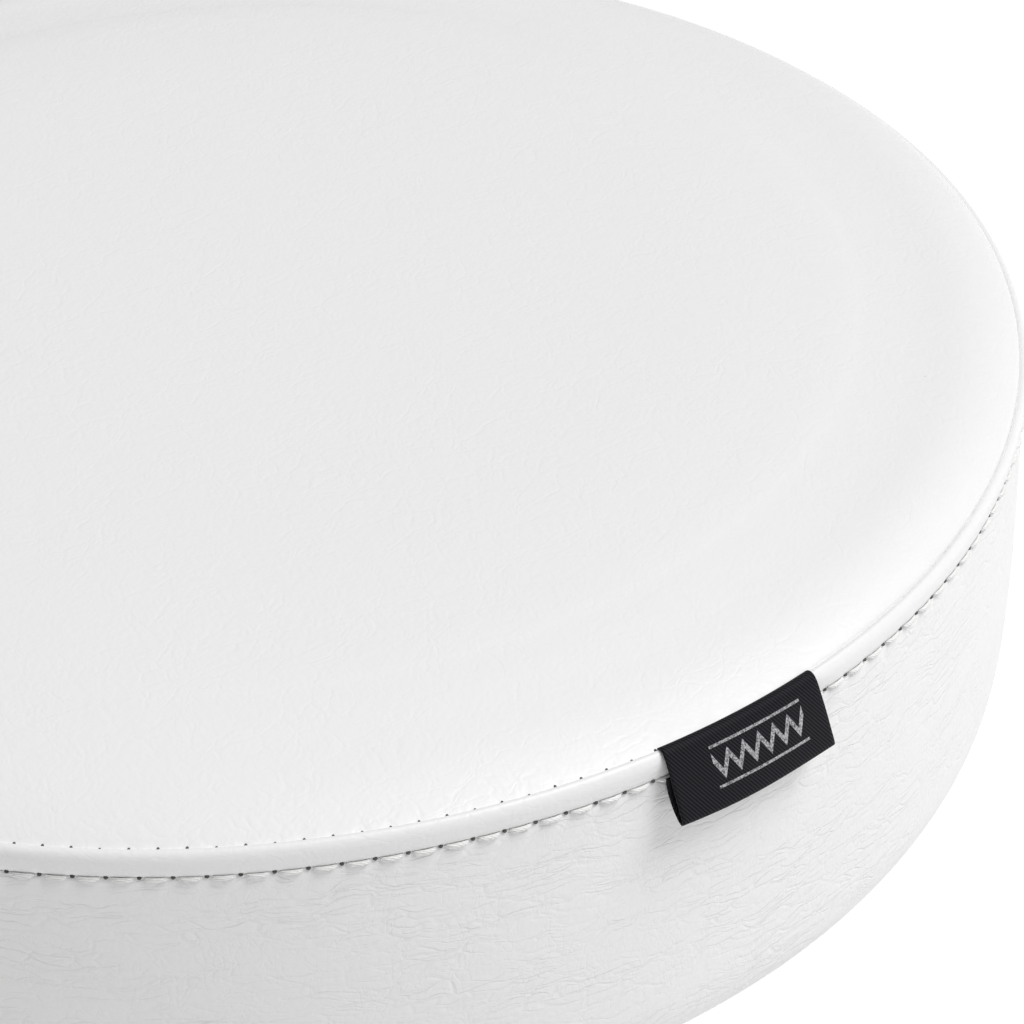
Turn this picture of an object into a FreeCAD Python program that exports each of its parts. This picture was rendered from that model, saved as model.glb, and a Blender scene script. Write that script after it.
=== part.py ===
"""A rolling stylist stool: a round upholstered seat, a gas lift, a five-arm star base and twin-wheel casters.

Millimetres, +Z up. The origin is on the floor, on the axis of the column. The sewn label faces -Y and the
height lever points to +X. The stool is modelled at its lowest seat height.
"""

import FreeCAD, Part
import math
import os
import re

import Sketcher
from FreeCAD import Placement, Rotation, Vector

doc = FreeCAD.newDocument("stylist_stool")
sheet = doc.addObject("Spreadsheet::Sheet", "Sizes")

# ------------------------------------------------------------------ driving sizes: alias, value, what it is
DRIVING = [
    # seat
    ("seat_radius", 178, "column axis to the seam of the top panel"),
    ("band_height", 82, "bottom fold of the cover to the seam"),
    ("crown_height", 7.5, "rise of the top panel above the seam"),
    ("crown_round", 7, "rounding of the top panel's edge"),
    ("vinyl", 1.2, "thickness of the cover material"),
    ("soft_gap", 0.1, "room left between touching soft layers"),
    ("board_thickness", 12, "plywood under the foam"),
    ("board_inset", 2, "board edge inside the cover"),
    ("board_round", 6, "rounding of the board's lower edge"),
    ("fold_width", 27, "cover material turned in under the board"),
    ("fold_round", 8, "rounding of the cover's lower edge"),
    ("roll_height", 6.4, "height of the raised roll below the seam"),
    ("roll_proud", 2, "how far the roll stands out past the seam"),
    ("roll_round", 2.6, "rounding of the roll"),
    ("allowance", 1.5, "seam allowance turned in behind the roll"),
    ("band_proud", 1, "how far the side band stands out past the seam"),
    ("label_drop", 16, "label height below the seam"),
    ("label_flare", 3.4, "how far the label's foot stands out past its top"),
    ("label_foot", 2.2, "thickness of the label's folded foot"),
    ("label_lap", 2, "part of the label that lies on the roll"),
    ("label_thickness", 1.4, "folded label, both layers"),
    ("label_round", 0.6, "rounding of the label's top fold"),
    ("label_sweep", 12.2, "degrees of the seam that the label covers"),
    ("cloth", 0.8, "black cloth under the seat"),
    ("cloth_margin", 6, "cover edge to cloth edge"),
    ("cloth_hole_radius", 50, "opening in the cloth over the dished plate"),
    ("staple_count", 28, "staples round the board"),
    ("staple_span", 10, "staple crown"),
    ("staple_wire", 0.7, "staple wire thickness"),
    ("staple_breadth", 1.2, "staple wire breadth"),
    ("staple_leg", 8, "staple leg"),
    ("staple_margin", 9, "fold's inner edge to the staples"),
    # seat plate and its fasteners
    ("plate_size", 150, "square flange of the seat plate"),
    ("plate_corner", 14, "corner radius of the flange"),
    ("plate_steel", 3, "sheet thickness of the seat plate"),
    ("dish_depth", 20.4, "flange underside down to the dish floor's underside"),
    ("dish_floor_radius", 45, "inside of the dish at its floor"),
    ("dish_mouth_radius", 56, "inside of the dish at the flange"),
    ("dish_round", 3, "bend in the dish"),
    ("dish_hole_gap", 2.25, "top of the gas cylinder in the dish's hole, on the radius"),
    ("bolt_spacing", 110, "seat bolts, centre to centre"),
    ("bolt_radius", 4, "M8 seat bolt"),
    ("bolt_reach", 14, "bolt length above the flange's underside"),
    ("head_radius", 7.5, "across the corners of the bolt head, halved"),
    ("head_height", 5.3, "bolt head"),
    ("washer_radius", 8, "spring washer"),
    ("washer_thickness", 2, "spring washer"),
    ("hole_gap", 0.3, "bolt in its clearance hole, on the radius"),
    ("thread_gap", 0.05, "bolt in its nut, on the radius"),
    ("nut_flange_radius", 9.5, "tee nut flange"),
    ("nut_flange", 1.5, "tee nut flange thickness"),
    ("nut_barrel_radius", 5, "tee nut barrel"),
    ("nut_barrel", 9, "tee nut length under its flange"),
    ("nut_gap", 0.1, "tee nut in the board"),
    # height lever
    ("lever_radius", 4, "lever rod"),
    ("lever_end", 5, "rod past the column axis"),
    ("lever_bend_out", 84, "where the rod starts down"),
    ("lever_bend_in", 120, "where the rod runs level again"),
    ("lever_stop", 158, "end of the rod inside its grip"),
    ("lever_drop", 21, "grip below the pivot"),
    ("lever_bend", 18, "bend radius of the rod"),
    ("lever_rise", 9, "rod axis above the dish floor"),
    ("pivot_reach", 36, "column axis to the lever pivot"),
    ("pin_radius", 2, "lever pivot pin"),
    ("pin_gap", 0.05, "running clearance of the pin"),
    ("pin_head_radius", 3.4, "pin head"),
    ("pin_head", 1.2, "pin head thickness"),
    ("ear_thickness", 2.5, "bracket cheek"),
    ("ear_gap", 0.6, "rod to cheek"),
    ("ear_length", 12, "bracket along the lever"),
    ("ear_height", 15, "bracket above the dish floor"),
    ("bracket_floor", 1.5, "bracket sole"),
    ("slot_half", 6.5, "half the width of the slot in the dish wall"),
    ("grip_start", 130, "inner end of the grip"),
    ("grip_end", 212, "outer end of the grip"),
    ("grip_half", 12, "half the width of the grip at its outer end"),
    ("grip_neck_half", 8.5, "half the width of the grip at its inner end"),
    ("grip_tip_round", 8, "corner radius of the grip in plan"),
    ("grip_thickness", 11, "grip"),
    ("grip_round", 4, "edge rounding of the grip"),
    ("grip_gap", 0.05, "rod in its grip, on the radius"),
    # gas lift
    ("tube_radius", 25, "outer tube"),
    ("tube_bore_radius", 23, "inside of the outer tube"),
    ("tube_length", 212, "outer tube"),
    ("tube_drop", 8, "tube below the hub"),
    ("tube_floor", 3, "bottom of the tube"),
    ("tube_taper", 0.9, "how much the tube narrows inside the hub"),
    ("taper_lead", 4, "hub top to where the taper starts"),
    ("press_gap", 0.04, "tapered seats, on the radius"),
    ("bush_length", 75, "guide bush inside the tube"),
    ("bush_flange", 4, "collar of the bush on top of the tube"),
    ("bush_round", 1.5, "edge rounding of the collar"),
    ("slide_gap", 0.05, "sliding clearance on the radius"),
    ("cylinder_radius", 14, "gas cylinder"),
    ("cylinder_bore_radius", 12, "inside of the gas cylinder"),
    ("valve_bore_radius", 10.5, "narrow bore at the top of the cylinder"),
    ("cylinder_taper", 1.25, "how much the cylinder's top narrows"),
    ("seal_length", 22, "seal and guide at the foot of the cylinder"),
    ("valve_length", 34, "valve block"),
    ("button_radius", 4, "release button"),
    ("button_length", 14, "release button"),
    ("button_proud", 4.7, "release button above the cylinder"),
    ("button_well", 20, "depth of the button's bore in the valve block"),
    ("lever_gap", 0.3, "lever rod above the button"),
    ("neck_gap", 19, "bush collar to the socket at the lowest height"),
    ("socket_length", 46, "tapered socket under the seat plate"),
    ("socket_radius", 18.5, "outside of the tapered socket"),
    ("socket_flare", 3, "weld flare at the top of the socket"),
    ("rod_radius", 5, "piston rod"),
    ("rod_length", 211, "piston rod"),
    ("rod_drop", 6, "rod below the tube"),
    ("collar_radius", 6.5, "collar of the rod on the thrust bearing"),
    ("collar_height", 6, "collar of the rod"),
    ("piston_height", 12, "piston"),
    ("clip_radius", 8, "retaining clip"),
    ("clip_thickness", 1.3, "retaining clip"),
    ("clip_groove", 1, "depth of the clip's groove"),
    ("clip_mouth_half", 3, "half the width of the clip's mouth"),
    ("race_radius", 16, "thrust washer"),
    ("race_thickness", 1.5, "thrust washer"),
    ("ball_radius", 1.75, "bearing ball"),
    ("ball_circle", 11, "circle of the ball centres"),
    ("ball_count", 12, "bearing balls"),
    ("buffer_radius", 14, "rubber buffer"),
    ("buffer_bore_radius", 7, "inside of the buffer"),
    ("buffer_height", 10.5, "rubber buffer"),
    ("buffer_round", 2, "edge rounding of the buffer"),
    ("buffer_gap", 1, "buffer to the cylinder at the lowest height"),
    # star base
    ("arm_count", 5, "arms"),
    ("caster_circle", 262, "column axis to the caster stems"),
    ("hub_drop", 2, "hub below the casters' tops"),
    ("hub_height", 66, "hub"),
    ("hub_wall", 7, "hub wall round the tapered bore"),
    ("hub_cone", 14, "height of the hub's top cone"),
    ("hub_cone_step", 2.5, "how much the cone narrows"),
    ("hub_round", 2, "edge rounding of the hub"),
    ("arm_start", 20, "start of the arm inside the hub"),
    ("arm_root_half", 21, "half the width of the arm at the hub"),
    ("arm_tip_half", 14, "half the width of the arm at its tip"),
    ("arm_root_crest", 9, "half the width of the crest at the hub"),
    ("arm_tip_crest", 6.5, "half the width of the crest at the tip"),
    ("arm_root_lift", 10, "underside of the arm at the hub, above the casters' tops"),
    ("arm_root_rise", 54, "top of the arm at the hub, above the casters' tops"),
    ("arm_tip_lift", 2, "underside of the arm at the tip, above the casters' tops"),
    ("arm_tip_rise", 25, "top of the arm at the tip, above the casters' tops"),
    ("arm_arch", 2.5, "rise of the arm's middle above a straight line"),
    ("arm_root_round", 8, "rounding of the crest at the hub"),
    ("arm_tip_round", 5, "rounding of the crest at the tip"),
    ("arm_wall", 4, "wall of the hollow arm"),
    ("channel_lead", 8, "hub to the hollow of the arm"),
    ("channel_stop", 30, "hollow of the arm to the stem axis"),
    ("tip_radius", 17, "round tip of the arm"),
    ("tip_height", 28, "round tip of the arm"),
    ("tip_round", 3.5, "edge rounding of the tip"),
    ("stem_gap", 0.06, "stem in its socket, on the radius"),
    ("socket_depth", 23.5, "depth of the stem socket"),
    # casters
    ("wheel_radius", 25, "wheel over its tread"),
    ("rim_radius", 21.5, "wheel under its tread"),
    ("wheel_inner", 8.3, "caster's middle plane to the wheel"),
    ("wheel_width", 20, "one wheel"),
    ("tread_inset", 0.5, "tread narrower than the wheel, each side"),
    ("tread_round", 3, "shoulder rounding of the tread"),
    ("tread_gap", 0.02, "tread on its rim"),
    ("wheel_wall", 3, "disc and rim of the wheel"),
    ("wheel_boss_radius", 7, "boss of the wheel round the axle"),
    ("wheel_dish", 1.6, "depth of the ring pressed into the outer face"),
    ("wheel_cap", 2.5, "wall over the end of the axle"),
    ("axle_radius", 3, "axle"),
    ("axle_gap", 0.06, "wheel on the axle, on the radius"),
    ("axle_seat_gap", 0.02, "axle in the hood, on the radius"),
    ("axle_end_gap", 0.5, "end of the axle to the wheel's cap"),
    ("trail", 20, "stem axis to the axle"),
    ("hood_wall", 2.7, "hood over the wheels"),
    ("hood_half", 28.8, "half the width of the hood"),
    ("wheel_room", 1.3, "tread to the hood"),
    ("web_half", 7.6, "half the thickness of the hood's web"),
    ("web_radius", 19, "hood's web round the axle"),
    ("mouth_rise", 8, "how much higher the back of the hood's mouth is than the axle"),
    ("neck_radius", 10.5, "round neck under the stem's collar"),
    ("neck_length", 14.5, "round neck of the hood"),
    ("neck_rise", 2.5, "neck above the hood's highest point"),
    ("neck_round", 1.5, "edge rounding of the neck"),
    ("pivot_radius", 7.4, "hood's boss round the stem"),
    ("pivot_floor", 4.5, "boss past the end of the stem"),
    ("stem_pin_radius", 4, "lower part of the stem"),
    ("stem_pin_length", 32, "stem's lower end to the top of the neck"),
    ("stem_radius", 5.5, "upper part of the stem"),
    ("stem_length", 21, "upper part of the stem"),
    ("stem_round", 1.5, "top of the stem"),
    ("stem_collar_radius", 9.5, "collar between hood and arm"),
    ("stem_collar_gap", 0.5, "hood to collar"),
    ("stem_collar_height", 3, "collar, up to the arm's tip"),
    ("ring_height", 4, "grip ring on the stem"),
    ("ring_rise", 10, "collar to the grip ring"),
    ("ring_depth", 0.8, "groove of the grip ring"),
    ("ring_relief", 0.1, "grip ring inside its groove"),
    ("cut_over", 1, "how far a cut runs past the face that it starts from"),
]

# ------------------------------------------------------------------ sizes that follow from the driving ones
DERIVED = [
    ("hood_radius", "wheel_radius + wheel_room + hood_wall"),
    ("neck_top", "wheel_radius + hood_radius + neck_rise"),
    ("neck_start", "neck_top - neck_length"),
    ("stem_pin_low", "neck_top - stem_pin_length"),
    ("pivot_low", "stem_pin_low - pivot_floor"),
    ("stem_collar_foot", "neck_top + stem_collar_gap"),
    ("caster_height", "stem_collar_foot + stem_collar_height"),
    ("hub_bottom", "caster_height - hub_drop"),
    ("arm_root_low", "caster_height + arm_root_lift"),
    ("arm_root_high", "caster_height + arm_root_rise"),
    ("arm_tip_low", "caster_height + arm_tip_lift"),
    ("arm_tip_high", "caster_height + arm_tip_rise"),
    ("hub_top", "hub_bottom + hub_height"),
    ("tube_bottom", "hub_bottom - tube_drop"),
    ("tube_top", "tube_bottom + tube_length"),
    ("taper_top", "hub_top - taper_lead"),
    ("tube_floor_top", "tube_bottom + tube_floor"),
    ("tube_foot_radius", "tube_radius - tube_taper"),
    ("hub_radius", "tube_radius + hub_wall"),
    ("hub_crown_radius", "hub_radius - hub_cone_step"),
    ("hub_shoulder", "hub_top - hub_cone"),
    ("hub_bore_radius", "tube_radius + press_gap"),
    ("tube_slope", "tube_taper / (taper_top - tube_bottom)"),
    ("hub_foot_bore_radius", "hub_bore_radius - tube_slope * (taper_top - hub_bottom)"),
    ("bush_top", "tube_top + bush_flange"),
    ("bush_foot", "tube_top - bush_length"),
    ("bush_radius", "tube_bore_radius - slide_gap"),
    ("bush_bore_radius", "cylinder_radius + slide_gap"),
    ("socket_foot", "bush_top + neck_gap"),
    ("dish_underside", "socket_foot + socket_length"),
    ("dish_floor", "dish_underside + plate_steel"),
    ("flange_low", "dish_underside + dish_depth"),
    ("flange_top", "flange_low + plate_steel"),
    ("board_low", "flange_top + cloth"),
    ("board_top", "board_low + board_thickness"),
    ("fold_low", "board_low - vinyl"),
    ("cloth_low", "fold_low - cloth"),
    ("seam", "fold_low + band_height"),
    ("crown", "seam + crown_height"),
    ("cover_inside", "seat_radius - vinyl"),
    ("roll_inside", "cover_inside - allowance"),
    ("foam_radius", "roll_inside - soft_gap"),
    ("crown_under", "crown - vinyl"),
    ("inner_crown_round", "crown_round - vinyl"),
    ("band_radius", "seat_radius + band_proud"),
    ("band_inside", "band_radius - vinyl"),
    ("inner_fold_round", "fold_round - vinyl"),
    ("fold_inside", "seat_radius - fold_width"),
    ("board_radius", "band_inside - board_inset"),
    ("cloth_radius", "seat_radius - fold_round - cloth_margin"),
    ("roll_low", "seam - roll_height"),
    ("roll_radius", "seat_radius + roll_proud"),
    ("label_inside", "roll_radius + soft_gap + soft_gap"),
    ("label_radius", "label_inside + label_thickness"),
    ("label_low", "seam - label_drop"),
    ("label_top", "seam + label_thickness"),
    ("label_shoulder", "seam - label_lap"),
    ("label_foot_inside", "label_inside + label_flare"),
    ("label_foot_radius", "label_foot_inside + label_foot"),
    ("half_staple", "staple_span / 2"),
    ("staple_radius", "fold_inside + staple_margin"),
    ("staple_low", "cloth_low - staple_wire"),
    ("half_plate", "plate_size / 2"),
    ("half_bolts", "bolt_spacing / 2"),
    ("bolt_hole_radius", "bolt_radius + hole_gap"),
    ("washer_low", "flange_low - washer_thickness"),
    ("head_low", "washer_low - head_height"),
    ("head_half", "head_radius / 2"),
    ("head_flat", "head_radius * sqrt(3) / 2"),
    ("bolt_end", "flange_low + bolt_reach"),
    ("nut_bore_radius", "bolt_radius + thread_gap"),
    ("nut_foot", "board_top - nut_flange - nut_barrel"),
    ("nut_seat", "board_top - nut_flange"),
    ("nut_hole_radius", "nut_barrel_radius + nut_gap"),
    ("nut_recess_radius", "nut_flange_radius + nut_gap"),
    ("lever_level", "dish_floor + lever_rise"),
    ("grip_level", "lever_level - lever_drop"),
    ("slot_low", "lever_level - slot_half"),
    ("pin_hole_radius", "pin_radius + pin_gap"),
    ("ear_inside", "lever_radius + ear_gap"),
    ("ear_outside", "ear_inside + ear_thickness"),
    ("pin_end", "ear_outside + pin_head"),
    ("ear_top", "dish_floor + ear_height"),
    ("bracket_sole", "dish_floor + bracket_floor"),
    ("half_grip", "grip_thickness / 2"),
    ("grip_bore_radius", "lever_radius + grip_gap"),
    ("grip_well", "lever_stop - grip_start + grip_gap"),
    ("button_top", "lever_level - lever_radius - lever_gap"),
    ("cylinder_top", "button_top - button_proud"),
    ("buffer_top", "tube_floor_top + race_thickness * 2 + ball_radius * 2 + buffer_height"),
    ("cylinder_foot", "buffer_top + buffer_gap"),
    ("cone_foot", "socket_foot - press_gap"),
    ("cylinder_top_radius", "cylinder_radius - cylinder_taper"),
    ("dish_hole_radius", "cylinder_top_radius + dish_hole_gap"),
    ("cylinder_slope", "cylinder_taper / (cylinder_top - cone_foot)"),
    ("socket_bore_radius", "cylinder_radius + press_gap"),
    ("socket_top_bore_radius", "socket_bore_radius - cylinder_slope * (dish_underside - socket_foot)"),
    ("socket_flare_radius", "socket_radius + socket_flare"),
    ("socket_flare_low", "dish_underside - socket_flare"),
    ("valve_foot", "cylinder_top - valve_length"),
    ("valve_radius", "valve_bore_radius - press_gap"),
    ("button_foot", "button_top - button_length"),
    ("button_bore_radius", "button_radius + slide_gap"),
    ("button_well_foot", "cylinder_top - button_well"),
    ("seal_top", "cylinder_foot + seal_length"),
    ("seal_radius", "cylinder_bore_radius - press_gap"),
    ("rod_bore_radius", "rod_radius + slide_gap"),
    ("rod_foot", "tube_bottom - rod_drop"),
    ("rod_top", "rod_foot + rod_length"),
    ("piston_radius", "cylinder_bore_radius - slide_gap"),
    ("piston_foot", "rod_top - piston_height"),
    ("piston_seat_radius", "rod_radius + press_gap"),
    ("groove_radius", "rod_radius - clip_groove"),
    ("clip_bore_radius", "groove_radius + press_gap"),
    ("clip_top", "tube_bottom - slide_gap"),
    ("clip_foot", "clip_top - clip_thickness"),
    ("groove_top", "clip_top + slide_gap"),
    ("groove_foot", "clip_foot - slide_gap"),
    ("race_bore_radius", "rod_radius + hole_gap"),
    ("low_race_top", "tube_floor_top + race_thickness"),
    ("ball_level", "low_race_top + ball_radius"),
    ("high_race_foot", "ball_level + ball_radius"),
    ("high_race_top", "high_race_foot + race_thickness"),
    ("collar_top", "high_race_top + collar_height"),
    ("arm_middle", "(arm_start + caster_circle) / 2"),
    ("arm_middle_half", "(arm_root_half + arm_tip_half) / 2"),
    ("arm_middle_crest", "(arm_root_crest + arm_tip_crest) / 2"),
    ("arm_middle_low", "(arm_root_low + arm_tip_low) / 2"),
    ("arm_middle_high", "(arm_root_high + arm_tip_high) / 2 + arm_arch"),
    ("arm_middle_round", "(arm_root_round + arm_tip_round) / 2"),
    ("channel_start", "hub_radius + channel_lead"),
    ("channel_end", "caster_circle - channel_stop"),
    ("channel_root_half", "arm_root_half - arm_wall - arm_wall / 2"),
    ("channel_tip_half", "arm_tip_half - arm_wall - arm_wall / 2"),
    ("channel_root_crest", "arm_root_crest - arm_wall / 2"),
    ("channel_tip_crest", "arm_tip_crest - arm_wall / 2"),
    ("channel_low", "arm_tip_low - cut_over"),
    ("channel_root_high", "arm_root_high - arm_wall * 3"),
    ("channel_tip_high", "arm_tip_high - arm_wall"),
    ("tip_top", "caster_height + tip_height"),
    ("tip_edge", "caster_circle + tip_radius"),
    ("stem_bore_radius", "stem_radius + stem_gap"),
    ("stem_top", "caster_height + stem_length"),
    ("ring_foot", "caster_height + ring_rise"),
    ("ring_top", "ring_foot + ring_height"),
    ("ring_seat_radius", "stem_radius - ring_depth"),
    ("ring_bore_radius", "ring_seat_radius + press_gap"),
    ("ring_radius", "stem_radius - ring_relief"),
    ("well_radius", "wheel_radius + wheel_room"),
    ("mouth_back", "0 - trail - hood_radius - cut_over"),
    ("mouth_front", "hood_radius + cut_over - trail"),
    ("mouth_floor", "wheel_radius - hood_radius - cut_over"),
    ("stem_pin_bore_radius", "stem_pin_radius + stem_gap"),
    ("stem_well_low", "stem_pin_low - stem_collar_gap"),
    ("axle_bore_radius", "axle_radius + axle_gap"),
    ("axle_seat_radius", "axle_radius + axle_seat_gap"),
    ("wheel_outer", "wheel_inner + wheel_width"),
    ("axle_well", "wheel_outer - wheel_cap"),
    ("half_axle", "axle_well - axle_end_gap"),
    ("wheel_pocket", "wheel_outer - wheel_wall - wheel_dish"),
    ("wheel_ring_floor", "wheel_outer - wheel_dish"),
    ("wheel_rim_inside", "rim_radius - wheel_wall"),
    ("tread_inside", "rim_radius + tread_gap"),
    ("tread_low", "wheel_inner + tread_inset"),
    ("tread_high", "wheel_outer - tread_inset"),
]

# degrees about the column from +X to the first arm
FIRST_ARM = 110
# degrees from each arm to the way its caster trails, as a stool comes to rest after being pushed about
CASTER_TURNS = [12, -38, 55, -20, 30]


def fill_sheet():
    """Writes the driving sizes as numbers and the sizes that follow as formulas, each with an alias."""
    rows = [(name, str(number), note) for name, number, note in DRIVING]
    rows += [(name, "=" + rule, "") for name, rule in DERIVED]
    for line, (name, content, note) in enumerate(rows, start=1):
        sheet.set(f"A{line}", name)
        sheet.set(f"B{line}", content)
        sheet.set(f"C{line}", note)
        sheet.setAlias(f"B{line}", name)
    doc.recompute()


ALIASES = {name for name, *rest in DRIVING + DERIVED}


def size(total):
    """The number for a sum of aliases such as 'tube_top - cut_over'."""
    signed = re.findall(r"([+-]?)\s*([a-z][a-z_]*)", total)
    return sum(-sheet.get(name) if sign == "-" else sheet.get(name) for sign, name in signed)


def bind(thing, field, total):
    """Ties a property or a sketch constraint to the sheet."""
    words = re.split(r"([a-z][a-z_]*)", total)
    thing.setExpression(field, "".join("Sizes." + word if word in ALIASES else word for word in words))


def origin_plane(body, role):
    """The origin plane or axis of a body, such as XZ_Plane."""
    return next(item for item in body.Origin.OriginFeatures if item.Role == role)


def new_body(label):
    """An empty PartDesign body that may hold separate solids."""
    body = doc.addObject("PartDesign::Body", label)
    body.AllowCompound = True
    return body


def new_sketch(body, label, plane, offset):
    """A sketch on a body's own origin plane, moved along its normal by a size."""
    sketch = body.newObject("Sketcher::SketchObject", label)
    sketch.AttachmentSupport = [(origin_plane(body, plane), "")]
    sketch.MapMode = "FlatFace"
    if offset:
        bind(sketch, "AttachmentOffset.Base.z", offset)
    return sketch


def tie(sketch, kind, geometry, point, total):
    """Holds a point of a sketch at a size from the origin, or on the axis where the size is 0."""
    if total == "0":
        axis = -2 if kind == "DistanceX" else -1
        sketch.addConstraint(Sketcher.Constraint("PointOnObject", geometry, point, axis))
        return
    number = sketch.addConstraint(Sketcher.Constraint(kind, -1, 1, geometry, point, size(total)))
    bind(sketch, f"Constraints[{number}]", total)


def rounded_corner(sketch, before, after, corner, spot, arms, radius):
    """An arc between two lines, tangent to both, with the corner kept as a construction point."""
    towards_before, towards_after = arms
    half = towards_before.getAngle(towards_after) / 2
    middle = (towards_before + towards_after).normalize()
    centre = spot + middle * (size(radius) / math.sin(half))
    reach = size(radius) / math.tan(half)
    first = spot + towards_before * reach - centre
    last = spot + towards_after * reach - centre
    turns_left = first.cross(last).z > 0
    angles = [math.atan2(ray.y, ray.x) for ray in (first, last)]
    circle = Part.Circle(centre, Vector(0, 0, 1), size(radius))
    arc = sketch.addGeometry(Part.ArcOfCircle(circle, *(angles if turns_left else angles[::-1])), False)
    start, end = (1, 2) if turns_left else (2, 1)
    sketch.addConstraint(Sketcher.Constraint("Tangent", before, 2, arc, start))
    sketch.addConstraint(Sketcher.Constraint("Tangent", arc, end, after, 1))
    number = sketch.addConstraint(Sketcher.Constraint("Radius", arc, size(radius)))
    bind(sketch, f"Constraints[{number}]", radius)
    point = sketch.addGeometry(Part.Point(spot), True)
    for line in (before, after):
        sketch.addConstraint(Sketcher.Constraint("PointOnObject", point, 1, line))
    for kind, total in zip(("DistanceX", "DistanceY"), corner):
        tie(sketch, kind, point, 1, total)


def outline(body, label, corners, plane="XZ_Plane", offset=None, closed=True, axis=None):
    """A sketch of straight lines through corners (across, up) or (across, up, rounding), each given as sizes.

    axis adds an upright construction line at that distance, for turning a boss about its own axis.
    """
    sketch = new_sketch(body, label, plane, offset)
    spots = [Vector(size(corner[0]), size(corner[1]), 0) for corner in corners]
    count = len(corners)
    arms = []
    for i, spot in enumerate(spots):
        arms.append([(spots[j % count] - spot).normalize() for j in (i - 1, i + 1)])
    reaches = []
    for i, corner in enumerate(corners):
        ends_line = not closed and i in (0, count - 1)
        rounds = len(corner) > 2 and not ends_line
        half = arms[i][0].getAngle(arms[i][1]) / 2
        reaches.append(size(corner[2]) / math.tan(half) if rounds else 0)
    lines = []
    for i in range(count if closed else count - 1):
        j = (i + 1) % count
        start = spots[i] + arms[i][1] * reaches[i]
        end = spots[j] + arms[j][0] * reaches[j]
        lines.append(sketch.addGeometry(Part.LineSegment(start, end), False))
    for i, corner in enumerate(corners):
        if not closed and i in (0, count - 1):
            line, point = (lines[0], 1) if i == 0 else (lines[-1], 2)
        elif reaches[i]:
            rounded_corner(sketch, lines[i - 1], lines[i], corner[:2], spots[i], arms[i], corner[2])
            continue
        else:
            sketch.addConstraint(Sketcher.Constraint("Coincident", lines[i - 1], 2, lines[i], 1))
            line, point = lines[i], 1
        tie(sketch, "DistanceX", line, point, corner[0])
        tie(sketch, "DistanceY", line, point, corner[1])
    if axis:
        low, high = Vector(size(axis), 0, 0), Vector(size(axis), size("cut_over"), 0)
        upright = sketch.addGeometry(Part.LineSegment(low, high), True)
        sketch.addConstraint(Sketcher.Constraint("Vertical", upright))
        tie(sketch, "DistanceX", upright, 1, axis)
        tie(sketch, "DistanceY", upright, 1, "0")
        tie(sketch, "DistanceY", upright, 2, "cut_over")
    return sketch


def circle(body, label, radius, across="0", up="0", plane="XY_Plane", offset=None):
    """A sketch of one circle."""
    sketch = new_sketch(body, label, plane, offset)
    centre = Vector(size(across) if across != "0" else 0, size(up) if up != "0" else 0, 0)
    ring = sketch.addGeometry(Part.Circle(centre, Vector(0, 0, 1), size(radius)), False)
    number = sketch.addConstraint(Sketcher.Constraint("Radius", ring, size(radius)))
    bind(sketch, f"Constraints[{number}]", radius)
    tie(sketch, "DistanceX", ring, 3, across)
    tie(sketch, "DistanceY", ring, 3, up)
    return sketch


def turn(body, label, sketch, feature="Revolution", degrees=None, axis="V_Axis"):
    """A Revolution or Groove of a sketch about its upright axis."""
    made = body.newObject("PartDesign::" + feature, label)
    made.Profile = sketch
    made.ReferenceAxis = (sketch, [axis])
    made.Angle = 360
    if degrees:
        bind(made, "Angle", degrees)
        made.Midplane = True
    return made


def turned(label, corners, degrees=None):
    """A body turned about its own Z axis from an outline of (radius, height) corners."""
    body = new_body(label)
    turn(body, label + "_turn", outline(body, label + "_outline", corners), degrees=degrees)
    return body


def extrude(body, label, sketch, length, feature="Pad", middle=False, flipped=False):
    """A Pad or Pocket of a sketch. middle spreads it to both sides."""
    made = body.newObject("PartDesign::" + feature, label)
    made.Profile = sketch
    bind(made, "Length", length)
    made.Midplane = middle
    made.Reversed = flipped
    return made


def around(body, label, features, count=None, number=None):
    """Repeats features round the body's Z axis, a count from the sheet or a fixed number of times."""
    pattern = body.newObject("PartDesign::PolarPattern", label)
    pattern.Originals = features
    pattern.Axis = (origin_plane(body, "Z_Axis"), [""])
    pattern.Angle = 360
    if number:
        pattern.Occurrences = number
    else:
        bind(pattern, "Occurrences", count)
    body.Tip = pattern
    return pattern


def put(thing, across="0", along="0", up="0", rotation=Rotation()):
    """Places a sub-part or a copy: its turn, and rules that tie its position to the sheet."""
    thing.Placement = Placement(Vector(), rotation)
    for axis, rule in zip("xyz", (across, along, up)):
        if rule != "0":
            bind(thing, f"Placement.Base.{axis}", rule)


def out_at(radius, degrees):
    """The x and y rules of a point at a radius from the column, at an angle."""
    return f"{radius} * cos({degrees % 360} deg)", f"{radius} * sin({degrees % 360} deg)"


def facing(degrees):
    """A turn about Z."""
    return Rotation(Vector(0, 0, 1), degrees)


def group(label, copies):
    """One node of separate solids. copies holds (piece, x rule, y rule, z rule, turn) for each of them."""
    made = doc.addObject("Part::Compound", label)
    links = []
    for number, (piece, across, along, up, rotation) in enumerate(copies, start=1):
        link = doc.addObject("App::Link", f"{label}_{number}")
        link.LinkedObject = piece
        put(link, across, along, up, rotation)
        links.append(link)
    made.Links = links
    return made


def circle_of(piece, count, radius, up="0", first=0):
    """Copies of a piece on a circle round the column, each turned to face outwards."""
    return [
        (piece, *out_at(radius, first + 360 * i / count), up, facing(first + 360 * i / count))
        for i in range(count)
    ]


def four_corners(piece):
    """Copies of a piece on the four seat bolts."""
    return [(piece, across, along, "0", Rotation()) for across in ("half_bolts", "-half_bolts")
            for along in ("half_bolts", "-half_bolts")]


# ------------------------------------------------------------------ upholstered seat


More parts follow.
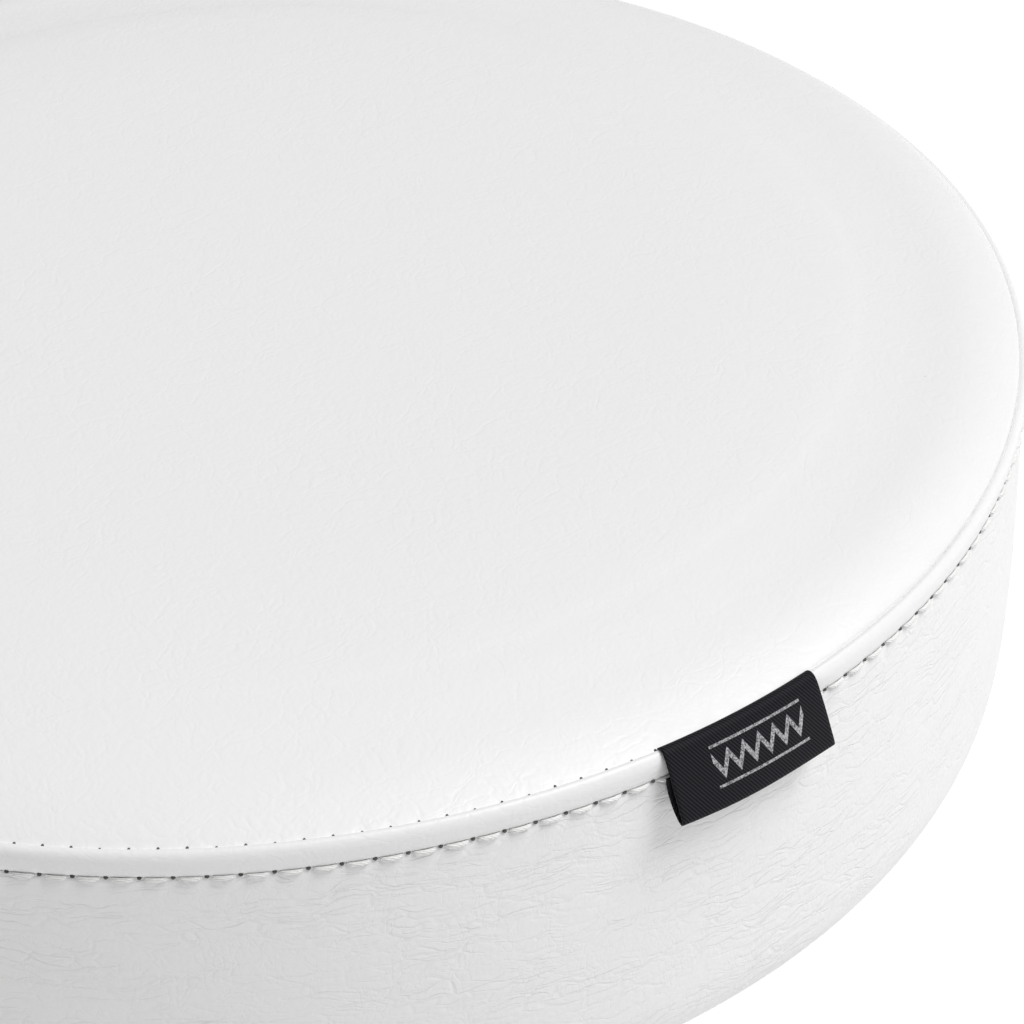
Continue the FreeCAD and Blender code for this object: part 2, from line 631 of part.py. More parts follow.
def make_top_panel():
    """The round top panel of the cover, brought down over the edge of the foam to the seam."""
    return turned("seat_top_panel", [
        ("0", "crown_under"),
        ("cover_inside", "crown_under", "inner_crown_round"),
        ("cover_inside", "seam"),
        ("seat_radius", "seam"),
        ("seat_radius", "crown", "crown_round"),
        ("0", "crown"),
    ])


def make_seam_roll():
    """The raised roll of folded cover material between the two rows of stitching."""
    return turned("seat_seam_roll", [
        ("roll_inside", "roll_low"),
        ("roll_radius", "roll_low", "roll_round"),
        ("roll_radius", "seam - soft_gap", "roll_round"),
        ("roll_inside", "seam - soft_gap"),
    ])


def make_side_band():
    """The side band of the cover, turned in under the board."""
    return turned("seat_side_band", [
        ("fold_inside", "fold_low"),
        ("band_radius", "fold_low", "fold_round"),
        ("band_radius", "roll_low - soft_gap"),
        ("band_inside", "roll_low - soft_gap"),
        ("band_inside", "board_low", "inner_fold_round"),
        ("fold_inside", "board_low"),
    ])


def make_foam():
    """The foam block on the board, with a rounded top edge."""
    return turned("seat_foam", [
        ("0", "board_top + soft_gap"),
        ("foam_radius", "board_top + soft_gap"),
        ("foam_radius", "crown_under - soft_gap", "inner_crown_round"),
        ("0", "crown_under - soft_gap"),
    ])


def make_board():
    """The plywood board, with a counterbored hole for each tee nut."""
    body = new_body("seat_board")
    corners = [
        ("0", "board_low + soft_gap"),
        ("board_radius", "board_low + soft_gap", "board_round"),
        ("board_radius", "board_top"),
        ("0", "board_top"),
    ]
    turn(body, "board_turn", outline(body, "board_outline", corners))
    cuts = []
    for name, radius, depth in (
        ("nut_hole", "nut_hole_radius", "board_thickness + cut_over"),
        ("nut_recess", "nut_recess_radius", "nut_flange + nut_gap"),
    ):
        spot = circle(body, name + "_circle", radius, "half_bolts", "half_bolts", offset="board_top")
        cuts.append(extrude(body, name, spot, depth, feature="Pocket"))
    around(body, "nut_holes", cuts, number=4)
    return body


def make_dust_cloth():
    """The black cloth under the board, stepped down over the turned-in cover."""
    body = new_body("dust_cloth")
    corners = [
        ("cloth_hole_radius", "flange_top"),
        ("fold_inside - vinyl", "flange_top"),
        ("fold_inside - vinyl", "cloth_low"),
        ("cloth_radius", "cloth_low"),
        ("cloth_radius", "fold_low - soft_gap"),
        ("fold_inside - soft_gap", "fold_low - soft_gap"),
        ("fold_inside - soft_gap", "board_low"),
        ("cloth_hole_radius", "board_low"),
    ]
    turn(body, "cloth_turn", outline(body, "cloth_outline", corners))
    spot = circle(body, "cloth_bolt_circle", "nut_barrel_radius", "half_bolts", "half_bolts",
                  offset="board_low")
    hole = extrude(body, "cloth_bolt_hole", spot, "cloth + cut_over", feature="Pocket")
    around(body, "cloth_bolt_holes", [hole], number=4)
    return body


def make_staples():
    """Wire staples driven through the cloth and the turned-in cover into the board."""
    staple = new_body("staple")
    corners = [
        ("-half_staple", "0"),
        ("half_staple", "0"),
        ("half_staple", "staple_leg"),
        ("half_staple - staple_wire", "staple_leg"),
        ("half_staple - staple_wire", "staple_wire"),
        ("staple_wire - half_staple", "staple_wire"),
        ("staple_wire - half_staple", "staple_leg"),
        ("-half_staple", "staple_leg"),
    ]
    wire = outline(staple, "staple_outline", corners, plane="YZ_Plane")
    extrude(staple, "staple_pad", wire, "staple_breadth", middle=True)
    count = round(size("staple_count"))
    return group("staples", circle_of(staple, count, "staple_radius", "staple_low"))


def make_label():
    """The woven label: folded over the roll and standing off the side band, turned from +X to the front."""
    label = turned("woven_label", [
        ("label_foot_inside", "label_low"),
        ("label_foot_radius", "label_low", "label_round"),
        ("label_radius", "label_shoulder"),
        ("label_radius", "label_top", "label_round"),
        ("seat_radius + soft_gap", "label_top", "label_round"),
        ("seat_radius + soft_gap", "seam + soft_gap"),
        ("label_inside", "seam + soft_gap"),
        ("label_inside", "label_shoulder"),
    ], degrees="label_sweep")
    put(label, rotation=facing(-90))
    return label


# ------------------------------------------------------------------ seat plate, fasteners and height lever


def make_seat_plate():
    """The pressed steel plate: a square flange with a dish that covers the top of the gas cylinder."""
    body = new_body("seat_plate")
    corners = [
        ("-half_plate", "-half_plate", "plate_corner"),
        ("half_plate", "-half_plate", "plate_corner"),
        ("half_plate", "half_plate", "plate_corner"),
        ("-half_plate", "half_plate", "plate_corner"),
    ]
    flange = outline(body, "flange_outline", corners, plane="XY_Plane", offset="flange_low")
    extrude(body, "flange", flange, "plate_steel")
    mouth = circle(body, "mouth_circle", "dish_mouth_radius", offset="flange_top")
    extrude(body, "mouth", mouth, "plate_steel + cut_over", feature="Pocket")
    dish = [
        ("dish_hole_radius", "dish_underside"),
        ("dish_floor_radius + plate_steel", "dish_underside", "dish_round"),
        ("dish_mouth_radius + plate_steel", "flange_low"),
        ("dish_mouth_radius + plate_steel", "flange_top"),
        ("dish_mouth_radius", "flange_top"),
        ("dish_floor_radius", "dish_floor", "dish_round"),
        ("dish_hole_radius", "dish_floor"),
    ]
    turn(body, "dish", outline(body, "dish_outline", dish))
    slot = [
        ("-slot_half", "slot_low"),
        ("slot_half", "slot_low"),
        ("slot_half", "flange_low"),
        ("-slot_half", "flange_low"),
    ]
    wall_end = "dish_mouth_radius + plate_steel + cut_over"
    window = outline(body, "slot_outline", slot, plane="YZ_Plane", offset=wall_end)
    extrude(body, "lever_slot", window, wall_end + " + cut_over - dish_floor_radius", feature="Pocket")
    spot = circle(body, "bolt_circle", "bolt_hole_radius", "half_bolts", "half_bolts", offset="flange_top")
    hole = extrude(body, "bolt_hole", spot, "plate_steel + cut_over", feature="Pocket")
    around(body, "bolt_holes", [hole], number=4)
    return body


def make_taper_socket():
    """The tapered socket welded under the plate. It grips the top of the gas cylinder."""
    return turned("taper_socket", [
        ("socket_bore_radius", "socket_foot"),
        ("socket_radius", "socket_foot"),
        ("socket_radius", "socket_flare_low"),
        ("socket_flare_radius", "dish_underside"),
        ("socket_top_bore_radius", "dish_underside"),
    ])


def make_plate_bolts():
    """Four hexagon bolts with spring washers under the plate."""
    bolt = turned("bolt", [
        ("0", "washer_low"),
        ("bolt_radius", "washer_low"),
        ("bolt_radius", "bolt_end"),
        ("0", "bolt_end"),
    ])
    corners = [
        ("head_radius", "0"),
        ("head_half", "head_flat"),
        ("-head_half", "head_flat"),
        ("-head_radius", "0"),
        ("-head_half", "-head_flat"),
        ("head_half", "-head_flat"),
    ]
    head = outline(bolt, "head_outline", corners, plane="XY_Plane", offset="head_low")
    extrude(bolt, "head", head, "head_height")
    washer = turned("washer", [
        ("bolt_hole_radius", "washer_low"),
        ("washer_radius", "washer_low"),
        ("washer_radius", "flange_low"),
        ("bolt_hole_radius", "flange_low"),
    ])
    return group("plate_bolts", four_corners(bolt) + four_corners(washer))


def make_tee_nuts():
    """Four tee nuts sunk into the top of the board."""
    nut = turned("tee_nut", [
        ("nut_bore_radius", "nut_foot"),
        ("nut_barrel_radius", "nut_foot"),
        ("nut_barrel_radius", "nut_seat"),
        ("nut_flange_radius", "nut_seat"),
        ("nut_flange_radius", "board_top"),
        ("nut_bore_radius", "board_top"),
    ])
    return group("tee_nuts", four_corners(nut))


def make_lever_bracket():
    """The folded bracket on the dish floor, with a cheek on each side of the lever."""
    body = new_body("lever_bracket")
    corners = [
        ("-ear_outside", "dish_floor"),
        ("ear_outside", "dish_floor"),
        ("ear_outside", "ear_top"),
        ("ear_inside", "ear_top"),
        ("ear_inside", "bracket_sole"),
        ("-ear_inside", "bracket_sole"),
        ("-ear_inside", "ear_top"),
        ("-ear_outside", "ear_top"),
    ]
    section = outline(body, "bracket_outline", corners, plane="YZ_Plane", offset="pivot_reach")
    extrude(body, "bracket_fold", section, "ear_length", middle=True)
    spot = circle(body, "bracket_pin_circle", "pin_hole_radius", "pivot_reach", "lever_level",
                  plane="XZ_Plane")
    extrude(body, "bracket_pin_hole", spot, "pin_end + pin_end", feature="Pocket", middle=True)
    return body


def make_lever_pin():
    """The pin that the lever tips on, headed at both ends."""
    pin = turned("lever_pin", [
        ("0", "-pin_end"),
        ("pin_head_radius", "-pin_end"),
        ("pin_head_radius", "-ear_outside"),
        ("pin_radius", "-ear_outside"),
        ("pin_radius", "ear_outside"),
        ("pin_head_radius", "ear_outside"),
        ("pin_head_radius", "pin_end"),
        ("0", "pin_end"),
    ])
    put(pin, "pivot_reach", "0", "lever_level", Rotation(Vector(1, 0, 0), 90))
    return pin


def make_lever_rod():
    """The bent rod from over the release button, through the bracket and the plate's slot, to the grip."""
    body = new_body("lever_rod")
    path = outline(body, "lever_path", [
        ("-lever_end", "lever_level"),
        ("lever_bend_out", "lever_level", "lever_bend"),
        ("lever_bend_in", "grip_level", "lever_bend"),
        ("lever_stop", "grip_level"),
    ], closed=False)
    section = circle(body, "lever_section", "lever_radius", up="lever_level", plane="YZ_Plane",
                     offset="-lever_end")
    rod = body.newObject("PartDesign::AdditivePipe", "lever_sweep")
    rod.Profile = section
    rod.Spine = path
    spot = circle(body, "lever_pin_circle", "pin_hole_radius", "pivot_reach", "lever_level", plane="XZ_Plane")
    extrude(body, "lever_pin_hole", spot, "pin_end + pin_end", feature="Pocket", middle=True)
    return body


def make_lever_grip():
    """The moulded paddle pushed onto the end of the rod."""
    body = new_body("lever_grip")
    corners = [
        ("grip_start", "-grip_neck_half", "grip_tip_round"),
        ("grip_end", "-grip_half", "grip_tip_round"),
        ("grip_end", "grip_half", "grip_tip_round"),
        ("grip_start", "grip_neck_half", "grip_tip_round"),
    ]
    plan = outline(body, "grip_outline", corners, plane="XY_Plane", offset="grip_level - half_grip")
    pad = extrude(body, "grip_pad", plan, "grip_thickness")
    edges = body.newObject("PartDesign::Fillet", "grip_edges")
    edges.Base = (pad, [""])
    edges.UseAllEdges = True
    bind(edges, "Radius", "grip_round")
    spot = circle(body, "grip_bore_circle", "grip_bore_radius", up="grip_level", plane="YZ_Plane",
                  offset="grip_start - cut_over")
    extrude(body, "grip_bore", spot, "grip_well + cut_over", feature="Pocket", flipped=True)
    return body


# ------------------------------------------------------------------ gas lift and column


def make_gas_cylinder():
    """The sliding cylinder, tapered at its top and open at its foot round the seal."""
    return turned("gas_cylinder", [
        ("cylinder_bore_radius", "cylinder_foot"),
        ("cylinder_radius", "cylinder_foot"),
        ("cylinder_radius", "cone_foot"),
        ("cylinder_top_radius", "cylinder_top"),
        ("valve_bore_radius", "cylinder_top"),
        ("valve_bore_radius", "valve_foot"),
        ("cylinder_bore_radius", "valve_foot"),
    ])


def make_rod_seal():
    """The seal and guide that closes the foot of the cylinder round the piston rod."""
    return turned("rod_seal", [
        ("rod_bore_radius", "cylinder_foot"),
        ("seal_radius", "cylinder_foot"),
        ("seal_radius", "seal_top"),
        ("rod_bore_radius", "seal_top"),
    ])


def make_valve_block():
    """The valve block in the top of the cylinder, bored for the release button."""
    return turned("valve_block", [
        ("0", "valve_foot"),
        ("valve_radius", "valve_foot"),
        ("valve_radius", "cylinder_top"),
        ("button_bore_radius", "cylinder_top"),
        ("button_bore_radius", "button_well_foot"),
        ("0", "button_well_foot"),
    ])


def make_release_button():
    """The valve's release button, which the lever presses down."""
    return turned("release_button", [
        ("0", "button_foot"),
        ("button_radius", "button_foot"),
        ("button_radius", "button_top"),
        ("0", "button_top"),
    ])


def make_piston_rod():
    """The piston rod, with a collar that rests on the thrust bearing and a groove for its clip."""
    return turned("piston_rod", [
        ("0", "rod_foot"),
        ("rod_radius", "rod_foot"),
        ("rod_radius", "groove_foot"),
        ("groove_radius", "groove_foot"),
        ("groove_radius", "groove_top"),
        ("rod_radius", "groove_top"),
        ("rod_radius", "high_race_top"),
        ("collar_radius", "high_race_top"),
        ("collar_radius", "collar_top"),
        ("rod_radius", "collar_top"),
        ("rod_radius", "rod_top"),
        ("0", "rod_top"),
    ])


def make_piston():
    """The piston on the top of the rod."""
    return turned("piston", [
        ("piston_seat_radius", "piston_foot"),
        ("piston_radius", "piston_foot"),
        ("piston_radius", "rod_top"),
        ("piston_seat_radius", "rod_top"),
    ])


def make_rod_clip():
    """The open ring that keeps the rod in the bottom of the tube."""
    body = new_body("rod_clip")
    corners = [
        ("clip_bore_radius", "clip_foot"),
        ("clip_radius", "clip_foot"),
        ("clip_radius", "clip_top"),
        ("clip_bore_radius", "clip_top"),
    ]
    turn(body, "clip_turn", outline(body, "clip_outline", corners))
    mouth = [
        ("0", "-clip_mouth_half"),
        ("clip_radius + cut_over", "-clip_mouth_half"),
        ("clip_radius + cut_over", "clip_mouth_half"),
        ("0", "clip_mouth_half"),
    ]
    opening = outline(body, "clip_mouth_outline", mouth, plane="XY_Plane", offset="clip_top")
    extrude(body, "clip_mouth", opening, "clip_thickness + cut_over", feature="Pocket")
    return body


def make_thrust_bearing():
    """Two washers with a ring of balls between them. It lets the loaded rod turn on the tube's floor."""
    race = turned("race", [
        ("race_bore_radius", "0"),
        ("race_radius", "0"),
        ("race_radius", "race_thickness"),
        ("race_bore_radius", "race_thickness"),
    ])
    ball = doc.addObject("Part::Sphere", "ball")
    bind(ball, "Radius", "ball_radius")
    races = [(race, "0", "0", foot, Rotation()) for foot in ("tube_floor_top", "high_race_foot")]
    count = round(size("ball_count"))
    return group("thrust_bearing", races + circle_of(ball, count, "ball_circle", "ball_level"))


def make_rubber_buffer():
    """The rubber ring that the cylinder comes down on."""
    return turned("rubber_buffer", [
        ("buffer_bore_radius", "high_race_top"),
        ("buffer_radius", "high_race_top"),
        ("buffer_radius", "buffer_top", "buffer_round"),
        ("buffer_bore_radius", "buffer_top"),
    ])


def make_column_tube():
    """The outer tube, tapered where it sits in the hub, with a floor at its foot."""
    return turned("column_tube", [
        ("rod_bore_radius", "tube_bottom"),
        ("tube_foot_radius", "tube_bottom"),
        ("tube_radius", "taper_top"),
        ("tube_radius", "tube_top"),
        ("tube_bore_radius", "tube_top"),
        ("tube_bore_radius", "tube_floor_top"),
        ("rod_bore_radius", "tube_floor_top"),
    ])


def make_column_bush():
    """The plastic bush that guides the cylinder in the top of the tube."""
    return turned("column_bush", [
        ("bush_bore_radius", "bush_foot"),
        ("bush_radius", "bush_foot"),
        ("bush_radius", "tube_top"),
        ("tube_radius", "tube_top"),
        ("tube_radius", "bush_top", "bush_round"),
        ("bush_bore_radius", "bush_top"),
    ])


# ------------------------------------------------------------------ star base and casters


def loft(body, label, sections, feature="AdditiveLoft"):
    """A loft through sketches, in order."""
    made = body.newObject("PartDesign::" + feature, label)
    made.Profile = sections[0]
    made.Sections = sections[1:]
    return made


def arm_section(body, label, reach, low, high, half, crest, rounding):
    """A cross section of an arm: wide below, narrow and rounded on top."""
    corners = [
        ("-" + half, low),
        (half, low),
        (crest, high, rounding),
        ("-" + crest, high, rounding),
    ]
    return outline(body, label, corners, plane="YZ_Plane", offset=reach)


def channel_section(body, label, reach, high, half, crest):
    """A cross section of the hollow under an arm."""
    corners = [("-" + half, "channel_low"), (half, "channel_low"), (crest, high), ("-" + crest, high)]
    return outline(body, label, corners, plane="YZ_Plane", offset=reach)


def make_star_base():
    """The cast base: a hub, five hollow arms, and a round tip with a stem socket on each."""
    body = new_body("star_base")
    hub = [
        ("0", "hub_bottom"),
        ("hub_radius", "hub_bottom", "hub_round"),
        ("hub_radius", "hub_shoulder"),
        ("hub_crown_radius", "hub_top", "hub_round"),
        ("0", "hub_top"),
    ]
    turn(body, "hub", outline(body, "hub_outline", hub))
    spots = (("root", "arm_start"), ("middle", "arm_middle"), ("tip", "caster_circle"))
    arm = loft(body, "arm", [
        arm_section(body, f"arm_{spot}", reach, f"arm_{spot}_low", f"arm_{spot}_high", f"arm_{spot}_half",
                    f"arm_{spot}_crest", f"arm_{spot}_round")
        for spot, reach in spots
    ])
    tip = outline(body, "tip_outline", [
        ("caster_circle", "caster_height"),
        ("tip_edge", "caster_height"),
        ("tip_edge", "tip_top", "tip_round"),
        ("caster_circle", "tip_top"),
    ], axis="caster_circle")
    arm_tip = turn(body, "arm_tip", tip, axis="Axis0")
    channel = loft(body, "channel", [
        channel_section(body, f"channel_{spot}", reach, f"channel_{spot}_high", f"channel_{spot}_half",
                        f"channel_{spot}_crest")
        for spot, reach in (("root", "channel_start"), ("tip", "channel_end"))
    ], feature="SubtractiveLoft")
    spot = circle(body, "stem_circle", "stem_bore_radius", "caster_circle", offset="caster_height")
    stem_socket = extrude(body, "stem_socket", spot, "socket_depth", feature="Pocket", flipped=True)
    around(body, "arms", [arm, arm_tip, channel, stem_socket], "arm_count")
    bore = [
        ("0", "hub_bottom - cut_over"),
        ("hub_foot_bore_radius", "hub_bottom - cut_over"),
        ("hub_foot_bore_radius", "hub_bottom"),
        ("hub_bore_radius", "taper_top"),
        ("hub_bore_radius", "hub_top + cut_over"),
        ("0", "hub_top + cut_over"),
    ]
    turn(body, "hub_bore", outline(body, "bore_outline", bore), feature="Groove")
    put(body, rotation=facing(FIRST_ARM))
    return body


def make_caster_stems():
    """Five stems pressed into the arms, each with its grip ring."""
    stem = turned("stem", [
        ("0", "stem_pin_low"),
        ("stem_pin_radius", "stem_pin_low"),
        ("stem_pin_radius", "stem_collar_foot"),
        ("stem_collar_radius", "stem_collar_foot"),
        ("stem_collar_radius", "caster_height"),
        ("stem_radius", "caster_height"),
        ("stem_radius", "ring_foot"),
        ("ring_seat_radius", "ring_foot"),
        ("ring_seat_radius", "ring_top"),
        ("stem_radius", "ring_top"),
        ("stem_radius", "stem_top", "stem_round"),
        ("0", "stem_top"),
    ])
    ring = turned("grip_ring", [
        ("ring_bore_radius", "ring_foot"),
        ("ring_radius", "ring_foot"),
        ("ring_radius", "ring_top"),
        ("ring_bore_radius", "ring_top"),
    ])
    count = round(size("arm_count"))
    stems = circle_of(stem, count, "caster_circle", first=FIRST_ARM)
    return group("caster_stems", stems + circle_of(ring, count, "caster_circle", first=FIRST_ARM))


def make_hood(label):
    """A caster's hood: a fender over both wheels, a web between them and a neck round the stem.

    The stem axis is local Z and the axle lies along local Y, behind it at -X.
    """
    body = new_body(label)
    width = "hood_half + hood_half"
    disc = circle(body, label + "_disc", "hood_radius", "-trail", "wheel_radius", plane="XZ_Plane")
    extrude(body, label + "_fender", disc, width, middle=True)
    mouth = [
        ("mouth_back", "mouth_floor"),
        ("mouth_front", "mouth_floor"),
        ("mouth_front", "wheel_radius - mouth_rise"),
        ("mouth_back", "wheel_radius + mouth_rise"),
    ]
    opening = outline(body, label + "_mouth_outline", mouth, plane="XZ_Plane")
    extrude(body, label + "_mouth", opening, width + " + cut_over", feature="Pocket", middle=True)
    neck = [
        ("0", "neck_start"),
        ("neck_radius", "neck_start"),
        ("neck_radius", "neck_top", "neck_round"),
        ("0", "neck_top"),
    ]
    turn(body, label + "_neck", outline(body, label + "_neck_outline", neck))
    for side, start, flipped in (("left", "-web_half", False), ("right", "web_half", True)):
        well = circle(body, f"{label}_{side}_well_circle", "well_radius", "-trail", "wheel_radius",
                      plane="XZ_Plane", offset=start)
        extrude(body, f"{label}_{side}_well", well, "hood_half", feature="Pocket", flipped=flipped)
    web = circle(body, label + "_web_circle", "web_radius", "-trail", "wheel_radius", plane="XZ_Plane")
    extrude(body, label + "_web", web, "web_half + web_half", middle=True)
    boss = [
        ("0", "pivot_low"),
        ("pivot_radius", "pivot_low"),
        ("pivot_radius", "neck_start"),
        ("0", "neck_start"),
    ]
    turn(body, label + "_boss", outline(body, label + "_boss_outline", boss))
    axle = circle(body, label + "_axle_circle", "axle_seat_radius", "-trail", "wheel_radius",
                  plane="XZ_Plane")
    extrude(body, label + "_axle_hole", axle, width, feature="Pocket", middle=True)
    stem = circle(body, label + "_stem_circle", "stem_pin_bore_radius", offset="neck_top")
    extrude(body, label + "_stem_hole", stem, "neck_top - stem_well_low", feature="Pocket")
    return body


def make_axle(label):
    """A caster's axle, along its own Z."""
    return turned(label, [
        ("0", "-half_axle"),
        ("axle_radius", "-half_axle"),
        ("axle_radius", "half_axle"),
        ("0", "half_axle"),
    ])


def make_wheel(label):
    """A wheel along its own Z: a blind boss on the axle, a dished disc on the outside and a rim."""
    return turned(label, [
        ("axle_bore_radius", "wheel_inner"),
        ("wheel_boss_radius", "wheel_inner"),
        ("wheel_boss_radius", "wheel_pocket"),
        ("wheel_rim_inside", "wheel_pocket"),
        ("wheel_rim_inside", "wheel_inner"),
        ("rim_radius", "wheel_inner"),
        ("rim_radius", "wheel_outer"),
        ("wheel_rim_inside", "wheel_outer"),
        ("wheel_rim_inside - wheel_dish", "wheel_ring_floor"),
        ("wheel_boss_radius + wheel_dish", "wheel_ring_floor"),
        ("wheel_boss_radius", "wheel_outer"),
        ("0", "wheel_outer"),
        ("0", "axle_well"),
        ("axle_bore_radius", "axle_well"),
    ])


def make_tread(label):
    """The soft tread round a wheel."""
    return turned(label, [
        ("tread_inside", "tread_low"),
        ("wheel_radius", "tread_low", "tread_round"),
        ("wheel_radius", "tread_high", "tread_round"),
        ("tread_inside", "tread_high"),
    ])


def make_caster(number, arm):
    """The hood, axle, wheels and treads of one caster, under an arm and turned the way it trails."""
    ahead = arm + 180 + CASTER_TURNS[(number - 1) % len(CASTER_TURNS)]
    stem_x, stem_y = out_at("caster_circle", arm)
    back_x, back_y = out_at("trail", ahead)
    axle_spot = (f"{stem_x} - {back_x}", f"{stem_y} - {back_y}", "wheel_radius")
    hood = make_hood(f"caster_{number}_hood")
    put(hood, stem_x, stem_y, rotation=facing(ahead))
    pieces = [hood]
    for name, maker, quarter in (
        ("axle", make_axle, -90),
        ("wheel_left", make_wheel, -90),
        ("wheel_right", make_wheel, 90),
        ("tread_left", make_tread, -90),
        ("tread_right", make_tread, 90),
    ):
        piece = maker(f"caster_{number}_{name}")
        put(piece, *axle_spot, facing(ahead).multiply(Rotation(Vector(1, 0, 0), quarter)))
        pieces.append(piece)
    return pieces


def faults(nodes):
    """What is wrong with the document, in words. An empty list means that all of it was built."""
    found = [f"{item.Label}: {item.State}" for item in doc.Objects
             if {"Invalid", "Error"} & set(item.State)]
    for node in nodes:
        if node.Shape.isNull() or not node.Shape.isValid() or not node.Shape.Solids:
            found.append(f"{node.Label}: no valid solid")
    return found


fill_sheet()
sub_parts = [
    make_top_panel(),
    make_seam_roll(),
    make_side_band(),
    make_foam(),
    make_board(),
    make_dust_cloth(),
    make_staples(),
    make_label(),
    make_seat_plate(),
    make_taper_socket(),
    make_plate_bolts(),
    make_tee_nuts(),
    make_lever_bracket(),
    make_lever_pin(),
    make_lever_rod(),
    make_lever_grip(),
    make_gas_cylinder(),
    make_rod_seal(),
    make_valve_block(),
    make_release_button(),
    make_piston_rod(),
    make_piston(),
    make_rod_clip(),
    make_thrust_bearing(),
    make_rubber_buffer(),
    make_column_tube(),
    make_column_bush(),
    make_star_base(),
    make_caster_stems(),
]
arms = round(size("arm_count"))
for i in range(arms):
    sub_parts += make_caster(i + 1, FIRST_ARM + 360 * i / arms)
doc.recompute()

problems = faults(sub_parts)
if problems:
    raise RuntimeError("; ".join(problems))
os.makedirs("parts", exist_ok=True)
for part in sub_parts:
    part.Shape.exportStep(f"parts/{part.Label}.step")
    print(f"{part.Label}: {len(part.Shape.Solids)} solids, {part.Shape.Volume:.0f} mm3")
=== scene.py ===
"""Rolling stylist stool: the sewn seat with its stitching and label, the cloth and weld under it,
and the finish of every metal, plastic and rubber part. Lengths in the profiles are millimetres from
the column axis and from the seam."""

import math

import bmesh
import bpy
import numpy as np
from mathutils import Matrix, Vector


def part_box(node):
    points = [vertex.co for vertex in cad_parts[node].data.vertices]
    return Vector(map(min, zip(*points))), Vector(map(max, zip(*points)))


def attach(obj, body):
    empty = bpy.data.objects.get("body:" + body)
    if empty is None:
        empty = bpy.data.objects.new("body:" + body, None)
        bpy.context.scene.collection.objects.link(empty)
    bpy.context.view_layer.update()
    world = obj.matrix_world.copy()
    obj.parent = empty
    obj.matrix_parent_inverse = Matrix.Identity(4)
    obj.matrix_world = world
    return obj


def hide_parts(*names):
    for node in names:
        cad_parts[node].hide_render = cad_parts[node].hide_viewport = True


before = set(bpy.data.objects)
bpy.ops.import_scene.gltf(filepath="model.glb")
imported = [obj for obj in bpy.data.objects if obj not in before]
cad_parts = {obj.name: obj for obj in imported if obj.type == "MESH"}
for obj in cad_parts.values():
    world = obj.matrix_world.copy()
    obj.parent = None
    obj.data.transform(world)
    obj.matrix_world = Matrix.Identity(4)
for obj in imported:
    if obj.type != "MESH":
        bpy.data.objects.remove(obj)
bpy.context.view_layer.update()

MM = 0.001
TURN = 2 * math.pi
panel_low, panel_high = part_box("seat_top_panel")
SEAM = panel_low.z
RADIUS = panel_high.x
EDGE = RADIUS / MM
FOLD = (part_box("seat_side_band")[0].z - SEAM) / MM
UPPER_HOLES = 205
LOWER_STITCHES = 178
STAPLES = 28


# ------------------------------------------------------------------ surfaces


def through(corners, count):
    """A smooth line through the corners. On the run from b to c, with a before and d after, it is
    the cubic that leaves b with the slope (c - a) / 2 and reaches c with the slope (d - b) / 2. Its
    points are evenly spaced."""
    p = np.asarray(corners, float)
    p = np.vstack([2 * p[0] - p[1], p, 2 * p[-1] - p[-2]])
    t = np.linspace(0, 1, 24, endpoint=False)[None, :, None]
    a, b, c, d = (p[k : len(p) - 3 + k][:, None, :] for k in range(4))
    square = a - 2.5 * b + 2 * c - d / 2
    cube = 1.5 * (b - c) + (d - a) / 2
    line = b + t * (c - a) / 2 + t**2 * square + t**3 * cube
    line = np.vstack([line.reshape(-1, p.shape[1]), p[-2]])
    run = np.concatenate([[0], np.cumsum(np.linalg.norm(np.diff(line, axis=0), axis=1))])
    at = np.linspace(0, run[-1], count)
    return np.stack([np.interp(at, run, line[:, k]) for k in range(line.shape[1])], axis=1)


def around(r, z, angle):
    """Row i and column j of a turned surface: r cos a, r sin a and the seam's height plus z, with r
    and z in millimetres."""
    r, z, angle = np.broadcast_arrays(r, z, angle)
    return np.stack([r * MM * np.cos(angle), r * MM * np.sin(angle), SEAM + z * MM], axis=-1)


def cells(rows, columns, along, across):
    """The four corners of each cell of a grid. `along` joins the last row to the first, `across`
    the last column to the first. Rows run down and columns run to the left, so the faces look
    outwards."""
    i = np.arange(rows if along else rows - 1)[:, None]
    j = np.arange(columns if across else columns - 1)[None, :]
    below = (i + 1) % rows * columns
    beside = (j + 1) % columns
    corners = [i * columns + j, below + j, below + beside, i * columns + beside]
    return np.stack(corners, axis=-1).reshape(-1, 4)


def piece(name, points, faces, smooth=True):
    """A mesh object at the origin from an array of points and an array of faces."""
    mesh = bpy.data.meshes.new(name)
    mesh.from_pydata(points.reshape(-1, 3), [], faces.tolist())
    made = bpy.data.objects.new(name, mesh)
    bpy.context.scene.collection.objects.link(made)
    mesh.polygons.foreach_set("use_smooth", np.full(len(mesh.polygons), smooth))
    return made


def merge(made):
    """Points closer than a micrometre become one."""
    work = bmesh.new()
    work.from_mesh(made.data)
    bmesh.ops.remove_doubles(work, verts=work.verts, dist=1e-6)
    work.to_mesh(made.data)
    work.free()
    return made


def grid_piece(name, points, along=False, across=True):
    """A piece from a grid of points, with its poles closed."""
    rows, columns = points.shape[:2]
    return merge(piece(name, points, cells(rows, columns, along, across)))


